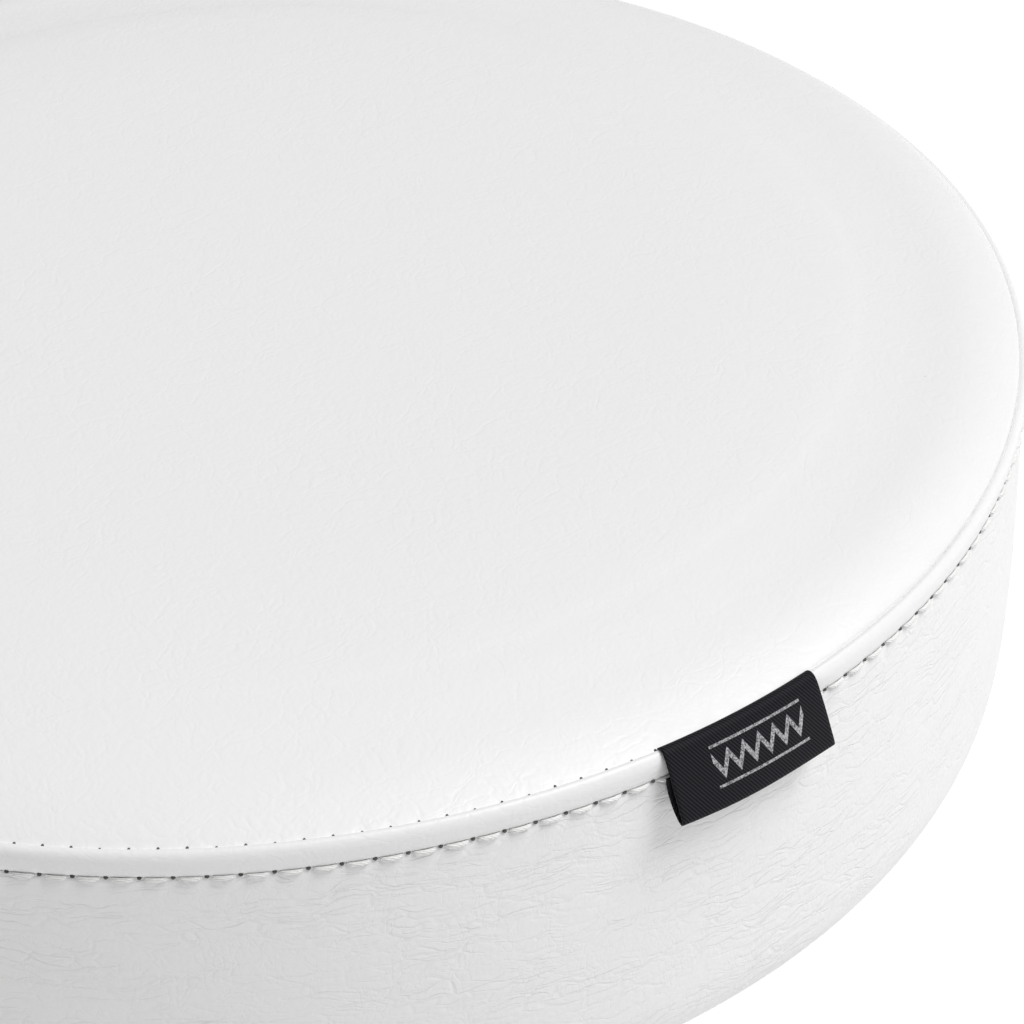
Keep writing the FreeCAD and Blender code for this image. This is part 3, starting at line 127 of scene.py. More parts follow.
def repeated(name, shape, radius, height, angle):
    """One small shape put at many places round the seat. The shape is a grid of (out, along the
    seam, up) in millimetres, closed round its columns. At angle a its point is (radius + out) in
    the direction a, plus along in the direction a + 90 degrees, plus height + up."""
    rows, columns = shape.shape[:2]
    flat = shape.reshape(-1, 3)
    out, side, up = flat[None, :, 0], flat[None, :, 1], flat[None, :, 2]
    c, s = np.cos(angle)[:, None], np.sin(angle)[:, None]
    r = radius + out
    level = SEAM + (height + up) * MM + 0 * c
    points = np.stack([(r * c - side * s) * MM, (r * s + side * c) * MM, level], axis=-1)
    faces = cells(rows, columns, False, True)
    faces = (faces[None] + (np.arange(len(angle)) * rows * columns)[:, None, None]).reshape(-1, 4)
    return merge(piece(name, points, faces))


def dress(made, material, body):
    """Gives a piece its finish and the body that it rides on."""
    made.data.materials.clear()
    made.data.materials.append(material)
    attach(made, body)
    return made


def waves(angle, height, seed, size):
    """Slow unevenness: a sum of nine sines of the angle and the height, each with its own turn,
    rate and strength."""
    pick = np.random.default_rng(seed)
    total = 0
    for rate in (2, 3, 5, 7, 9, 12, 15, 19, 24):
        strength = pick.normal() / rate**0.5
        drift = height / pick.uniform(14, 40)
        total = total + strength * np.sin(rate * angle + drift + pick.uniform(0, 6))
    return size * total / 2


# ------------------------------------------------------------------ finishes


def node(tree, kind, inputs=(), **settings):
    """Adds a shader node. A number or colour is set on its input, a socket is joined to it."""
    made = tree.nodes.new(kind)
    for name, value in settings.items():
        setattr(made, name, value)
    for key, value in dict(inputs).items():
        if isinstance(value, bpy.types.NodeSocket):
            tree.links.new(value, made.inputs[key])
        else:
            made.inputs[key].default_value = value
    return made


def finish(name, colour, roughness, metallic=0.0, **sockets):
    """A new material with one shader, and its tree and shader."""
    material = bpy.data.materials.new(name)
    material.use_nodes = True
    tree = material.node_tree
    shader = tree.nodes["Principled BSDF"]
    shader.inputs["Base Color"].default_value = (*colour, 1)
    shader.inputs["Roughness"].default_value = roughness
    shader.inputs["Metallic"].default_value = metallic
    for key, value in sockets.items():
        shader.inputs[key.replace("_", " ")].default_value = value
    material.diffuse_color = (*colour, 1)
    return material, tree, shader


def paint(tree, shader, colour):
    """Joins a colour to the shader."""
    tree.links.new(colour, shader.inputs["Base Color"])


def place(tree, stretch=(1, 1, 1), turn=(0, 0, 0)):
    """Object coordinates, stretched and turned."""
    where = node(tree, "ShaderNodeTexCoord").outputs["Object"]
    inputs = {"Vector": where, "Scale": stretch, "Rotation": turn}
    return node(tree, "ShaderNodeMapping", inputs).outputs[0]


def noise(tree, where, scale, detail=3.0, rough=0.55, warp=0.0):
    """Cloudy noise, scale in lumps a metre."""
    inputs = {"Vector": where, "Scale": scale, "Detail": detail, "Roughness": rough, "Distortion": warp}
    return node(tree, "ShaderNodeTexNoise", inputs)


def sums(tree, kind, a, b=0.0, c=0.0):
    """One step of arithmetic."""
    made = node(tree, "ShaderNodeMath", operation=kind)
    for slot_number, value in enumerate((a, b, c)):
        if isinstance(value, bpy.types.NodeSocket):
            tree.links.new(value, made.inputs[slot_number])
        else:
            made.inputs[slot_number].default_value = value
    return made.outputs[0]


def band_of(tree, value, low, high, to_low=0.0, to_high=1.0):
    """A value moved smoothly from the range low to high into the range to_low to to_high."""
    inputs = {"Value": value, "From Min": low, "From Max": high, "To Min": to_low, "To Max": to_high}
    return node(tree, "ShaderNodeMapRange", inputs, interpolation_type="SMOOTHSTEP").outputs[0]


def blend(tree, factor, a, b):
    """Two colours mixed by a factor."""
    made = node(tree, "ShaderNodeMix", data_type="RGBA")
    for number, value in ((0, factor), (6, a), (7, b)):
        if isinstance(value, bpy.types.NodeSocket):
            tree.links.new(value, made.inputs[number])
        else:
            made.inputs[number].default_value = (*value, 1) if number else value
    return made.outputs[2]


def relief(tree, shader, *layers):
    """Bumps on the shader's normal: each layer is a height from 0 to 1 and its depth in
    millimetres."""
    normal = None
    for height, depth in layers:
        made = node(tree, "ShaderNodeBump", {"Height": height, "Distance": depth * MM, "Strength": 1.0})
        if normal:
            tree.links.new(normal, made.inputs["Normal"])
        normal = made.outputs[0]
    tree.links.new(normal, shader.inputs["Normal"])


def cracks(tree, where, scale, width):
    """Hair creases: 1 on the edges between cells and 0 at `width` from them, in parts of a cell."""
    inputs = {"Vector": where, "Scale": scale}
    made = node(tree, "ShaderNodeTexVoronoi", inputs, feature="DISTANCE_TO_EDGE")
    return band_of(tree, made.outputs["Distance"], 0.0, width, 1.0, 0.0)


def vectors(tree, kind, inputs):
    """One step of arithmetic on vectors."""
    return node(tree, "ShaderNodeVectorMath", inputs, operation=kind).outputs[0]


def bent(tree, where, scale, reach):
    """A place moved by up to `reach` millimetres by noise, so that lines wander."""
    push = noise(tree, where, scale, 2.0).outputs["Color"]
    middle = (0.5, 0.5, 0.5)
    push = vectors(tree, "SUBTRACT", {0: push, 1: middle})
    push = vectors(tree, "SCALE", {0: push, "Scale": 2 * reach * MM})
    return vectors(tree, "ADD", {0: where, 1: push})


def creases(tree, where, stretch, turn, size, width):
    """Long hair creases: the edges of cells `size` millimetres across, drawn out and turned, whose
    strength comes and goes with noise."""
    inputs = {"Vector": where, "Scale": stretch, "Rotation": turn}
    way = node(tree, "ShaderNodeMapping", inputs).outputs[0]
    lines = cracks(tree, way, 1 / (size * MM), width)
    cloud = noise(tree, way, 0.32 / (size * MM), 3.0).outputs[0]
    strength = band_of(tree, cloud, 0.36, 0.66, 0.08, 1.0)
    return sums(tree, "MULTIPLY", lines, strength)


def leatherette(name, colour, crease, crease_depth, grain_depth):
    """White coated cloth. Height is one minus hair creases of three sizes and directions, plus a
    slow swell and a faint pebble grain about a millimetre across. The colour is a little darker
    along the creases, as painted shade. There are a few specks."""
    coat = {"Coat_Weight": 0.06, "Coat_Roughness": 0.3}
    material, tree, shader = finish(name, colour, 0.42, Specular_IOR_Level=0.4, **coat)
    where = place(tree)
    wander = bent(tree, bent(tree, where, 60, 4.0), 320, 0.5)
    level = creases(tree, wander, (0.26, 0.26, 1.1), (0, 0, 0), crease, 0.1)
    slant = creases(tree, wander, (0.32, 0.32, 1.2), (0.35, 0.62, 0.2), 0.8 * crease, 0.11)
    cross = creases(tree, wander, (1.0, 0.5, 0.6), (0.2, -0.5, 0.9), 0.5 * crease, 0.16)
    lines = sums(tree, "MAXIMUM", level, slant)
    lines = sums(tree, "ADD", lines, sums(tree, "MULTIPLY", cross, 0.3))
    inputs = {"Vector": wander, "Scale": 900.0}
    pebble = node(tree, "ShaderNodeTexVoronoi", inputs, feature="SMOOTH_F1").outputs[0]
    swell = noise(tree, where, 150, 4.0, 0.6).outputs[0]
    inputs = {"Vector": where, "Scale": 40.0}
    speck = node(tree, "ShaderNodeTexVoronoi", inputs, feature="F1").outputs[0]
    speck = band_of(tree, speck, 0.006, 0.012, 0.4, 0.0)
    # painted shade: the colour is darkened a little along the hair creases, where shade would fall
    dark = tuple(0.93 * c for c in colour)
    tone = blend(tree, sums(tree, "MULTIPLY", lines, 1.2 * crease_depth), colour, dark)
    tone = blend(tree, speck, tone, (0.45, 0.44, 0.42))
    paint(tree, shader, tone)
    rough = band_of(tree, noise(tree, where, 240, 2.0).outputs[0], 0.3, 0.7, 0.38, 0.47)
    tree.links.new(rough, shader.inputs["Roughness"])
    relief(
        tree,
        shader,
        (swell, 1.4 * crease_depth),
        (sums(tree, "SUBTRACT", 1.0, lines), crease_depth),
        (pebble, grain_depth),
    )
    return material


def sewing_thread():
    """White polyester thread: fine slanting plies, from a wave across the stitch."""
    material, tree, shader = finish("sewing_thread", (0.86, 0.86, 0.85), 0.4, Sheen_Weight=0.15)
    where = place(tree)
    inputs = {"Vector": where, "Scale": 900.0, "Distortion": 1.5}
    ply = node(tree, "ShaderNodeTexWave", inputs, wave_type="BANDS")
    ply.bands_direction = "DIAGONAL"
    relief(tree, shader, (ply.outputs["Fac"], 0.06))
    paint(tree, shader, blend(tree, ply.outputs["Fac"], (0.74, 0.74, 0.73), (0.9, 0.9, 0.89)))
    return material


def needle_shadow():
    """The inside of a needle hole: dark, a little uneven."""
    material, tree, shader = finish("needle_shadow", (0.05, 0.05, 0.05), 0.9)
    cloud = noise(tree, place(tree), 900, 2.0).outputs[0]
    paint(tree, shader, blend(tree, cloud, (0.03, 0.03, 0.03), (0.16, 0.155, 0.15)))
    return material


def satin_ribbon():
    """Black satin weave with a woven ornament. The piece's own map is in millimetres across and
    down the ribbon. The twill is a wave on a steep slant. The ornament is a zigzag, v = middle +
    reach |2 frac(u / step) - 1|, between two thin lines of silver thread."""
    material, tree, shader = finish("satin_ribbon", (0.012, 0.012, 0.015), 0.6, Specular_IOR_Level=0.12)
    at = node(tree, "ShaderNodeUVMap", uv_map="ribbon").outputs[0]
    split = node(tree, "ShaderNodeSeparateXYZ", {0: at})
    u, v = split.outputs[0], split.outputs[1]
    slant = sums(tree, "SUBTRACT", sums(tree, "MULTIPLY", u, 8.2), sums(tree, "MULTIPLY", v, 5.0))
    twill = sums(tree, "MULTIPLY_ADD", sums(tree, "SINE", slant), 0.5, 0.5)
    pick = sums(tree, "MULTIPLY_ADD", sums(tree, "SINE", sums(tree, "MULTIPLY", v, 24.0)), 0.5, 0.5)
    inside = sums(tree, "LESS_THAN", sums(tree, "ABSOLUTE", sums(tree, "SUBTRACT", u, 22.0)), 12.0)
    step = sums(tree, "FRACT", sums(tree, "DIVIDE", u, 4.0))
    peak = sums(tree, "ABSOLUTE", sums(tree, "MULTIPLY_ADD", step, 2.0, -1.0))
    middle = sums(tree, "MULTIPLY_ADD", peak, 4.2, 7.4)
    zigzag = sums(tree, "LESS_THAN", sums(tree, "ABSOLUTE", sums(tree, "SUBTRACT", v, middle)), 1.15)
    upper = sums(tree, "LESS_THAN", sums(tree, "ABSOLUTE", sums(tree, "SUBTRACT", v, 4.9)), 0.34)
    lower = sums(tree, "LESS_THAN", sums(tree, "ABSOLUTE", sums(tree, "SUBTRACT", v, 14.1)), 0.34)
    lines = sums(tree, "MAXIMUM", upper, lower)
    mark = sums(tree, "MULTIPLY", sums(tree, "MAXIMUM", zigzag, lines), inside)
    ground = blend(tree, twill, (0.001, 0.001, 0.002), (0.022, 0.022, 0.027))
    silver = blend(tree, pick, (0.3, 0.3, 0.31), (0.74, 0.74, 0.76))
    fleck = noise(tree, place(tree), 2600, 1.0).outputs[0]
    silver = blend(tree, band_of(tree, fleck, 0.35, 0.7), silver, (0.12, 0.12, 0.13))
    paint(tree, shader, blend(tree, mark, ground, silver))
    relief(tree, shader, (twill, 0.05), (sums(tree, "MULTIPLY", mark, pick), 0.07))
    return material


def foam_cells():
    """Cream upholstery foam: open cells about a millimetre across, their pits painted darker as shade.
    """
    material, tree, shader = finish("foam_cells", (0.85, 0.8, 0.55), 0.95)
    where = place(tree)
    pore = node(tree, "ShaderNodeTexVoronoi", {"Vector": where, "Scale": 900.0}).outputs["Distance"]
    # painted shade: the colour darkens towards the middle of each cell, where the relief sinks into a
    # pit
    tone = blend(tree, band_of(tree, pore, 0.1, 0.6), (0.62, 0.56, 0.34), (0.87, 0.82, 0.58))
    paint(tree, shader, tone)
    relief(tree, shader, (pore, 0.5), (noise(tree, where, 40, 3.0).outputs[0], 0.8))
    return material


def plywood_plies():
    """Birch plywood: grain from noise stretched along X, and plies as bands of height 1.5 mm that
    show on the edge."""
    material, tree, shader = finish("plywood_plies", (0.72, 0.56, 0.38), 0.62)
    where = place(tree, (1, 14, 14))
    grain = noise(tree, where, 22, 5.0, 0.6, 0.8).outputs[0]
    up = node(tree, "ShaderNodeSeparateXYZ", {0: place(tree)}).outputs[2]
    ply = sums(tree, "FRACT", sums(tree, "DIVIDE", up, 3.0 * MM))
    ply = band_of(tree, ply, 0.46, 0.54)
    upright = node(tree, "ShaderNodeNewGeometry").outputs["Normal"]
    upright = sums(tree, "ABSOLUTE", node(tree, "ShaderNodeSeparateXYZ", {0: upright}).outputs[2])
    edge = band_of(tree, upright, 0.2, 0.7, 1.0, 0.0)
    face = blend(tree, grain, (0.6, 0.44, 0.27), (0.8, 0.64, 0.45))
    side = blend(tree, ply, (0.5, 0.34, 0.19), (0.78, 0.61, 0.42))
    paint(tree, shader, blend(tree, edge, face, side))
    relief(tree, shader, (grain, 0.25))
    return material


def spunbond_cloth():
    """Black nonwoven cloth: rows of pressed dimples 2 mm apart, and fibres as fine stretched
    noise."""
    sheen = {"Sheen_Weight": 0.2, "Sheen_Roughness": 0.6}
    material, tree, shader = finish("spunbond_cloth", (0.028, 0.028, 0.03), 0.85, **sheen)
    where = place(tree, turn=(0, 0, 0.785))
    split = node(tree, "ShaderNodeSeparateXYZ", {0: where})
    across = sums(tree, "SINE", sums(tree, "MULTIPLY", split.outputs[0], TURN / (2 * MM)))
    along = sums(tree, "SINE", sums(tree, "MULTIPLY", split.outputs[1], TURN / (2 * MM)))
    dimple = band_of(tree, sums(tree, "MULTIPLY", across, along), 0.1, 0.75)
    fibre = noise(tree, place(tree, (1, 6, 1), (0, 0, 0.4)), 900, 4.0).outputs[0]
    cloud = noise(tree, where, 60, 4.0).outputs[0]
    tone = blend(tree, fibre, (0.014, 0.014, 0.015), (0.06, 0.06, 0.063))
    tone = blend(tree, sums(tree, "MULTIPLY", dimple, 0.6), tone, (0.012, 0.012, 0.013))
    tone = blend(tree, band_of(tree, cloud, 0.45, 0.75, 0.0, 0.35), tone, (0.075, 0.075, 0.078))
    paint(tree, shader, tone)
    relief(tree, shader, (dimple, -0.15), (fibre, 0.08))
    return material


def powder_coat():
    """Black powder coat: orange peel about 1.5 mm across, paler where it is rubbed."""
    material, tree, shader = finish("powder_coat", (0.03, 0.03, 0.032), 0.42, Specular_IOR_Level=0.5)
    where = place(tree)
    peel = noise(tree, where, 650, 2.0).outputs[0]
    rub = band_of(tree, noise(tree, where, 45, 4.0).outputs[0], 0.5, 0.8)
    paint(tree, shader, blend(tree, rub, (0.022, 0.022, 0.024), (0.05, 0.05, 0.052)))
    tree.links.new(band_of(tree, rub, 0.0, 1.0, 0.36, 0.52), shader.inputs["Roughness"])
    relief(tree, shader, (peel, 0.12))
    return material


def bright_metal(name, colour, low, high, brush, depth, patina=0.85, stretch=(1, 1, 1)):
    """Plated or polished metal: roughness wanders from low to high in cloudy smudges, with fine
    brushed lines of noise stretched across, and a slightly darker tone in places."""
    material, tree, shader = finish(name, colour, low, 1.0)
    where = place(tree)
    smudge = noise(tree, where, 32, 4.0, 0.6).outputs[0]
    lines = noise(tree, place(tree, stretch), brush, 3.0, 0.7).outputs[0]
    mixed = sums(tree, "ADD", sums(tree, "MULTIPLY", smudge, 0.65), sums(tree, "MULTIPLY", lines, 0.35))
    tree.links.new(band_of(tree, mixed, 0.32, 0.68, low, high), shader.inputs["Roughness"])
    dull = tuple(patina * c for c in colour)
    paint(tree, shader, blend(tree, band_of(tree, smudge, 0.4, 0.75), colour, dull))
    relief(tree, shader, (lines, depth))
    return material


def moulded_plastic(name, colour, low, high, grain, depth):
    """Moulded plastic: a fine sparked grain, and a sheen that wanders a little."""
    material, tree, shader = finish(name, colour, low, Specular_IOR_Level=0.45)
    where = place(tree)
    spark = noise(tree, where, grain, 2.0).outputs[0]
    worn = noise(tree, where, 60, 4.0).outputs[0]
    tree.links.new(band_of(tree, worn, 0.35, 0.7, low, high), shader.inputs["Roughness"])
    pale = tuple(min(1, 1.5 * c + 0.01) for c in colour)
    paint(tree, shader, blend(tree, band_of(tree, worn, 0.45, 0.8, 0.0, 0.6), colour, pale))
    relief(tree, shader, (spark, depth))
    return material


def soft_rubber(name, colour, dust):
    """Rubber: matt, dusty in patches, with a fine tooth."""
    material, tree, shader = finish(name, colour, 0.82, Specular_IOR_Level=0.35)
    where = place(tree)
    patch = band_of(tree, noise(tree, where, 85, 5.0, 0.65).outputs[0], 0.42, 0.75)
    tooth = noise(tree, where, 1500, 2.0).outputs[0]
    paint(tree, shader, blend(tree, patch, colour, dust))
    tree.links.new(band_of(tree, patch, 0.0, 1.0, 0.7, 0.92), shader.inputs["Roughness"])
    relief(tree, shader, (tooth, 0.06), (patch, 0.03))
    return material


WHITE = (0.86, 0.86, 0.86)
panel_skin = leatherette("panel_leatherette", WHITE, crease=2.6, crease_depth=0.03, grain_depth=0.045)
band_skin = leatherette("band_leatherette", WHITE, crease=3.2, crease_depth=0.11, grain_depth=0.045)
thread = sewing_thread()
pinprick = needle_shadow()
ribbon = satin_ribbon()
FINISHES = {
    "white_vinyl": band_skin,
    "foam": foam_cells(),
    "plywood": plywood_plies(),
    "black_cloth": spunbond_cloth(),
    "woven_ribbon": ribbon,
    "black_steel": powder_coat(),
    "zinc": bright_metal("zinc_plate", (0.62, 0.63, 0.65), 0.28, 0.46, 700, 0.03),
    "chrome": bright_metal("chrome_plate", (0.8, 0.8, 0.82), 0.05, 0.14, 260, 0.004, 0.95, (1, 1, 9)),
    "black_plastic": moulded_plastic("black_moulding", (0.022, 0.022, 0.024), 0.36, 0.5, 1300, 0.05),
    "rubber": soft_rubber("buffer_rubber", (0.022, 0.022, 0.022), (0.07, 0.068, 0.065)),
    "polished_alloy": bright_metal("polished_casting", (0.82, 0.82, 0.83), 0.1, 0.24, 420, 0.012, 0.93),
    "wheel_plastic": moulded_plastic("wheel_nylon", (0.04, 0.04, 0.043), 0.32, 0.46, 1500, 0.03),
    "tread": soft_rubber("wheel_tread", (0.16, 0.16, 0.165), (0.3, 0.295, 0.285)),
}
for cad_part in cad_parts.values():
    for holder in cad_part.material_slots:
        if holder.material and holder.material.name in FINISHES:
            holder.material = FINISHES[holder.material.name]


# ------------------------------------------------------------------ the camera


def seat_view():
    """A camera that looks down at the rim of the seat. Its place is 4.4873 seat radii from the
    seam's centre, 0.5694 radians up, and the whole view is turned round the column so that the
    label is at the front."""
    yaw, tip, lean, turn = 0.0939, 0.6260, -0.0315, math.radians(-31.3)
    away, up = 4.4873 * RADIUS, 0.5694
    spin = Matrix.Rotation(turn, 3, "Z")
    spot = spin @ Vector((0, -away * math.cos(up), away * math.sin(up))) + Vector((0, 0, SEAM))
    look = Vector((math.sin(yaw) * math.cos(tip), math.cos(yaw) * math.cos(tip), -math.sin(tip)))
    level = Vector((math.cos(yaw), -math.sin(yaw), 0))
    above = level.cross(look)
    right = spin @ (math.cos(lean) * level + math.sin(lean) * above)
    top = spin @ (math.cos(lean) * above - math.sin(lean) * level)
    facing = Matrix((right, top, -(spin @ look))).transposed()
    data = bpy.data.cameras.new("seat_view")
    data.sensor_width = 36
    data.lens = 3500 / 1024 * 36
    data.clip_start = 0.02
    data.clip_end = 60
    camera = bpy.data.objects.new("seat_view", data)
    camera.matrix_world = Matrix.Translation(spot) @ facing.to_4x4()
    bpy.context.scene.collection.objects.link(camera)
    bpy.context.scene.camera = camera


seat_view()


# ------------------------------------------------------------------ the foam, swollen under its cover

RISE = 7.2
FOAM_CELL = 6.0
SWELL_STEPS = 20
SWELL_LIMIT = 2.4


def foam_line():
    """Half of the foam block's outline, from the middle of its top out, down and in to the middle
    of its foot."""
    low = (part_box("seat_board")[1].z - SEAM) / MM + 0.2
    wall = EDGE - 4.4
    corners = [
        (0, 4.2), (60, 4.2), (120, 4.1), (150, 3.9), (wall - 9, 3.2), (wall - 2.5, 0.6),
        (wall, -4), (wall, -20), (wall, low + 8), (wall, low + 2), (wall - 2, low), (120, low),
        (60, low), (0, low),
    ]
    return through(corners, 90)


def swollen_foam():
    """The foam block before and after its cover lets it swell: the same mesh, remade of 6 mm cells,
    pushed out by cloth pressure while its foot and the ring behind the seam are held, with no point
    moved over 2.4 mm."""
    line = foam_line()
    angle = np.arange(160) * TURN / 160
    block = grid_piece("foam_block", around(line[:, :1], line[:, 1:], angle[None, :]))
    remesh = block.modifiers.new("cells", "REMESH")
    remesh.mode = "VOXEL"
    remesh.voxel_size = FOAM_CELL * MM
    view = bpy.context.evaluated_depsgraph_get()
    cut = bpy.data.meshes.new_from_object(block.evaluated_get(view))
    block.modifiers.clear()
    block.data = cut
    still = np.empty(len(cut.vertices) * 3)
    cut.vertices.foreach_get("co", still)
    still = still.reshape(-1, 3)
    before = bpy.data.objects.new("foam_before", cut.copy())
    bpy.context.scene.collection.objects.link(before)
    height = (still[:, 2] - SEAM) / MM
    reach = np.hypot(still[:, 0], still[:, 1]) / MM
    held = (height < FOLD + 16) | ((reach > EDGE - 12) & (height > -9) & (height < 2))
    group = block.vertex_groups.new(name="held")
    group.add(np.flatnonzero(held).tolist(), 1.0, "REPLACE")
    cloth = block.modifiers.new("swell", "CLOTH")
    cloth.settings.quality = 6
    cloth.settings.mass = 0.3
    cloth.settings.tension_stiffness = 25
    cloth.settings.compression_stiffness = 25
    cloth.settings.shear_stiffness = 12
    cloth.settings.bending_stiffness = 4
    cloth.settings.use_pressure = True
    cloth.settings.uniform_pressure_force = 4
    cloth.settings.vertex_group_mass = "held"
    cloth.settings.effector_weights.gravity = 0
    cloth.collision_settings.use_collision = False
    scene = bpy.context.scene
    cloth.point_cache.frame_start = 1
    cloth.point_cache.frame_end = SWELL_STEPS
    for step in range(1, SWELL_STEPS + 1):
        scene.frame_set(step)
    view = bpy.context.evaluated_depsgraph_get()
    grown = bpy.data.meshes.new_from_object(block.evaluated_get(view))
    block.modifiers.clear()
    moved = np.empty(len(grown.vertices) * 3)
    grown.vertices.foreach_get("co", moved)
    push = moved.reshape(-1, 3) - still
    size = np.linalg.norm(push, axis=1, keepdims=True)
    push = push * np.minimum(1, SWELL_LIMIT * MM / np.maximum(size, 1e-9))
    cut.vertices.foreach_set("co", (still + push).ravel())
    cut.update()
    scene.frame_set(1)
    for form in (before, block):
        smooth = form.modifiers.new("smooth", "SUBSURF")
        smooth.levels = 1
        smooth.render_levels = 1
        form.data.polygons.foreach_set("use_smooth", np.ones(len(form.data.polygons), bool))
    return before, block


def cast(points, onto, straight_down):
    """Where a line from each point of a grid, down or outwards, meets a form."""
    rows, columns = points.shape[:2]
    probe = piece("probe", points, cells(rows, columns, False, True))
    wrap = probe.modifiers.new("wrap", "SHRINKWRAP")
    wrap.target = onto
    wrap.wrap_method = "PROJECT"
    wrap.use_project_z = straight_down
    wrap.use_negative_direction = straight_down
    wrap.use_positive_direction = not straight_down
    view = bpy.context.evaluated_depsgraph_get()
    found = np.empty(rows * columns * 3)
    probe.evaluated_get(view).data.vertices.foreach_get("co", found)
    mesh = probe.data
    bpy.data.objects.remove(probe)
    bpy.data.meshes.remove(mesh)
    return found.reshape(rows, columns, 3)


def evened(field, rows_wide, columns_wide):
    """A field averaged over a window of rows and a window of columns, three times. Columns join up
    round the seat."""
    for _ in range(3):
        wide = np.concatenate([field[:, -columns_wide:], field, field[:, :columns_wide]], axis=1)
        total = np.cumsum(np.pad(wide, ((0, 0), (1, 0))), axis=1)
        span = 2 * columns_wide + 1
        field = (total[:, span:] - total[:, :-span]) / span
        tall = np.pad(field, ((rows_wide, rows_wide), (0, 0)), mode="edge")
        total = np.cumsum(np.pad(tall, ((1, 0), (0, 0))), axis=0)
        span = 2 * rows_wide + 1
        field = (total[span:] - total[:-span]) / span
    return field


foam_before, foam_block = swollen_foam()


# ------------------------------------------------------------------ the cover


PULLED_SIDE = math.radians(-143)


def pulled(angle):
    """How hard the seam is pulled: 1 at the front left, where the panel slopes gently to its needle
    holes, and 0 on the other sides, where it swells over them. It is a smooth step of the cosine of
    the turn from -143 degrees."""
    t = np.clip((np.cos(angle - PULLED_SIDE) - 0.15) / 0.6, 0, 1)
    return t * t * (3 - 2 * t)


def crown(r, angle):
    """The panel's height. With t from 0 to 1 over its outer part it is rise (1 - t^2.2) over 34 mm
    where the seam is pulled, and rise (1 - t^2.4)^(1 / 1.8) over 24 mm elsewhere."""
    hard = pulled(angle)
    gentle = RISE * (1 - np.clip((r - EDGE + 34) / 34, 0, 1) ** 2.2)
    full = RISE * (1 - np.clip((r - EDGE + 24) / 24, 0, 1) ** 2.4) ** (1 / 1.8)
    return hard * gentle + (1 - hard) * full


def top_panel():
    """The round top: the crown, turned under at the seam and brought back 1.4 mm below itself. The
    foam's swelling is added, fading out towards the seam, and at each needle hole the edge is drawn
    in a little."""
    angle = (np.arange(UPPER_HOLES * 5) * TURN / (UPPER_HOLES * 5))[None, :]
    hard = pulled(angle)
    out = 1 - np.linspace(1, 0.012, 36) ** 1.7
    r = np.concatenate([np.linspace(0, EDGE - 38, 19), EDGE - 36 + 36 * out])[:, None]
    high = around(np.minimum(r, EDGE - 9), 60.0, angle)
    lift = (cast(high, foam_block, True) - cast(high, foam_before, True))[..., 2] / MM
    fade = np.clip((EDGE - 3 - r) / 22, 0, 1)
    fade = fade * fade * (3 - 2 * fade)
    soft = evened(lift, 1, 14) - 0.1 + waves(angle, r, 5, 0.05)
    middle = soft[:10].mean()
    soft = middle + (soft - middle) * np.clip(r / 60, 0, 1) ** 2
    level = 0.05 + crown(r, angle) + soft * fade
    draw = np.clip(1 - abs(r - (EDGE - 0.3)) / 1.6, 0, 1)
    pinch = (0.5 + 0.5 * np.cos(UPPER_HOLES * angle)) ** 3 * draw
    swell = np.clip(1 - abs(r - (EDGE - 0.4)) / 1.2, 0, 1) * (1 - hard)
    radius = r - 0.1 * pinch * hard + 0.3 * swell
    level = level - 0.1 * pinch * hard
    lip_r = EDGE + np.array([0.05, 0.5, 0.9])[:, None] - 0.25 * (1 - hard)
    lip_z = np.array([0.02, -0.15, -0.4])[:, None] - 0.4 * (1 - hard)
    outer = np.concatenate([around(radius, level, angle), around(lip_r, lip_z, angle)])
    inset = np.array([-0.1, 1, 2.5, 5, 9, 16, 26, EDGE - 120, EDGE - 60, EDGE])
    under_r = (EDGE - inset)[:, None]
    under = around(under_r, crown(under_r, angle) - 1.4, angle)
    made = grid_piece("top_panel", np.concatenate([outer, under]))
    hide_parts("seat_top_panel")
    return dress(made, panel_skin, "seat")


def seam_roll():
    """The raised roll: its section is a rounded ledge carried round the seam. At each stitch of the
    lower row the lower edge is drawn in by the thread."""
    per = 6
    angle = (np.arange(LOWER_STITCHES * per) * TURN / (LOWER_STITCHES * per))[None, :]
    corners = [
        (-0.9, -0.6), (-0.32, -0.1), (0.08, 0.36), (0.6, 0.6), (1.2, 0.4), (1.72, -0.15),
        (2.0, -1.0), (2.06, -2.0), (1.95, -3.3), (1.76, -4.5), (1.44, -5.4), (0.9, -6.0),
        (0.0, -6.3), (-1.2, -6.0), (-1.7, -3.4), (-1.4, -1.4), (-0.9, -0.6),
    ]
    line = through(corners, 45)[:-1]
    r, z = EDGE + line[:, :1], line[:, 1:]
    low = np.clip((-4.0 - z) / 2.4, 0, 1) * (r > EDGE)
    pinch = (0.5 + 0.5 * np.cos(LOWER_STITCHES * angle)) ** 2
    r = r - 0.3 * low * pinch + waves(angle, z, 11, 0.06)
    z = z + 0.14 * low * pinch + waves(angle, 0 * z, 12, 0.05)
    z = z - 0.25 * np.clip(1 - abs(r - EDGE - 0.1) / 0.8, 0, 1) * (z > -1) * (1 - pulled(angle))
    made = grid_piece("seam_roll", around(r, z, angle), along=True)
    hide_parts("seat_seam_roll")
    return dress(made, panel_skin, "seat")


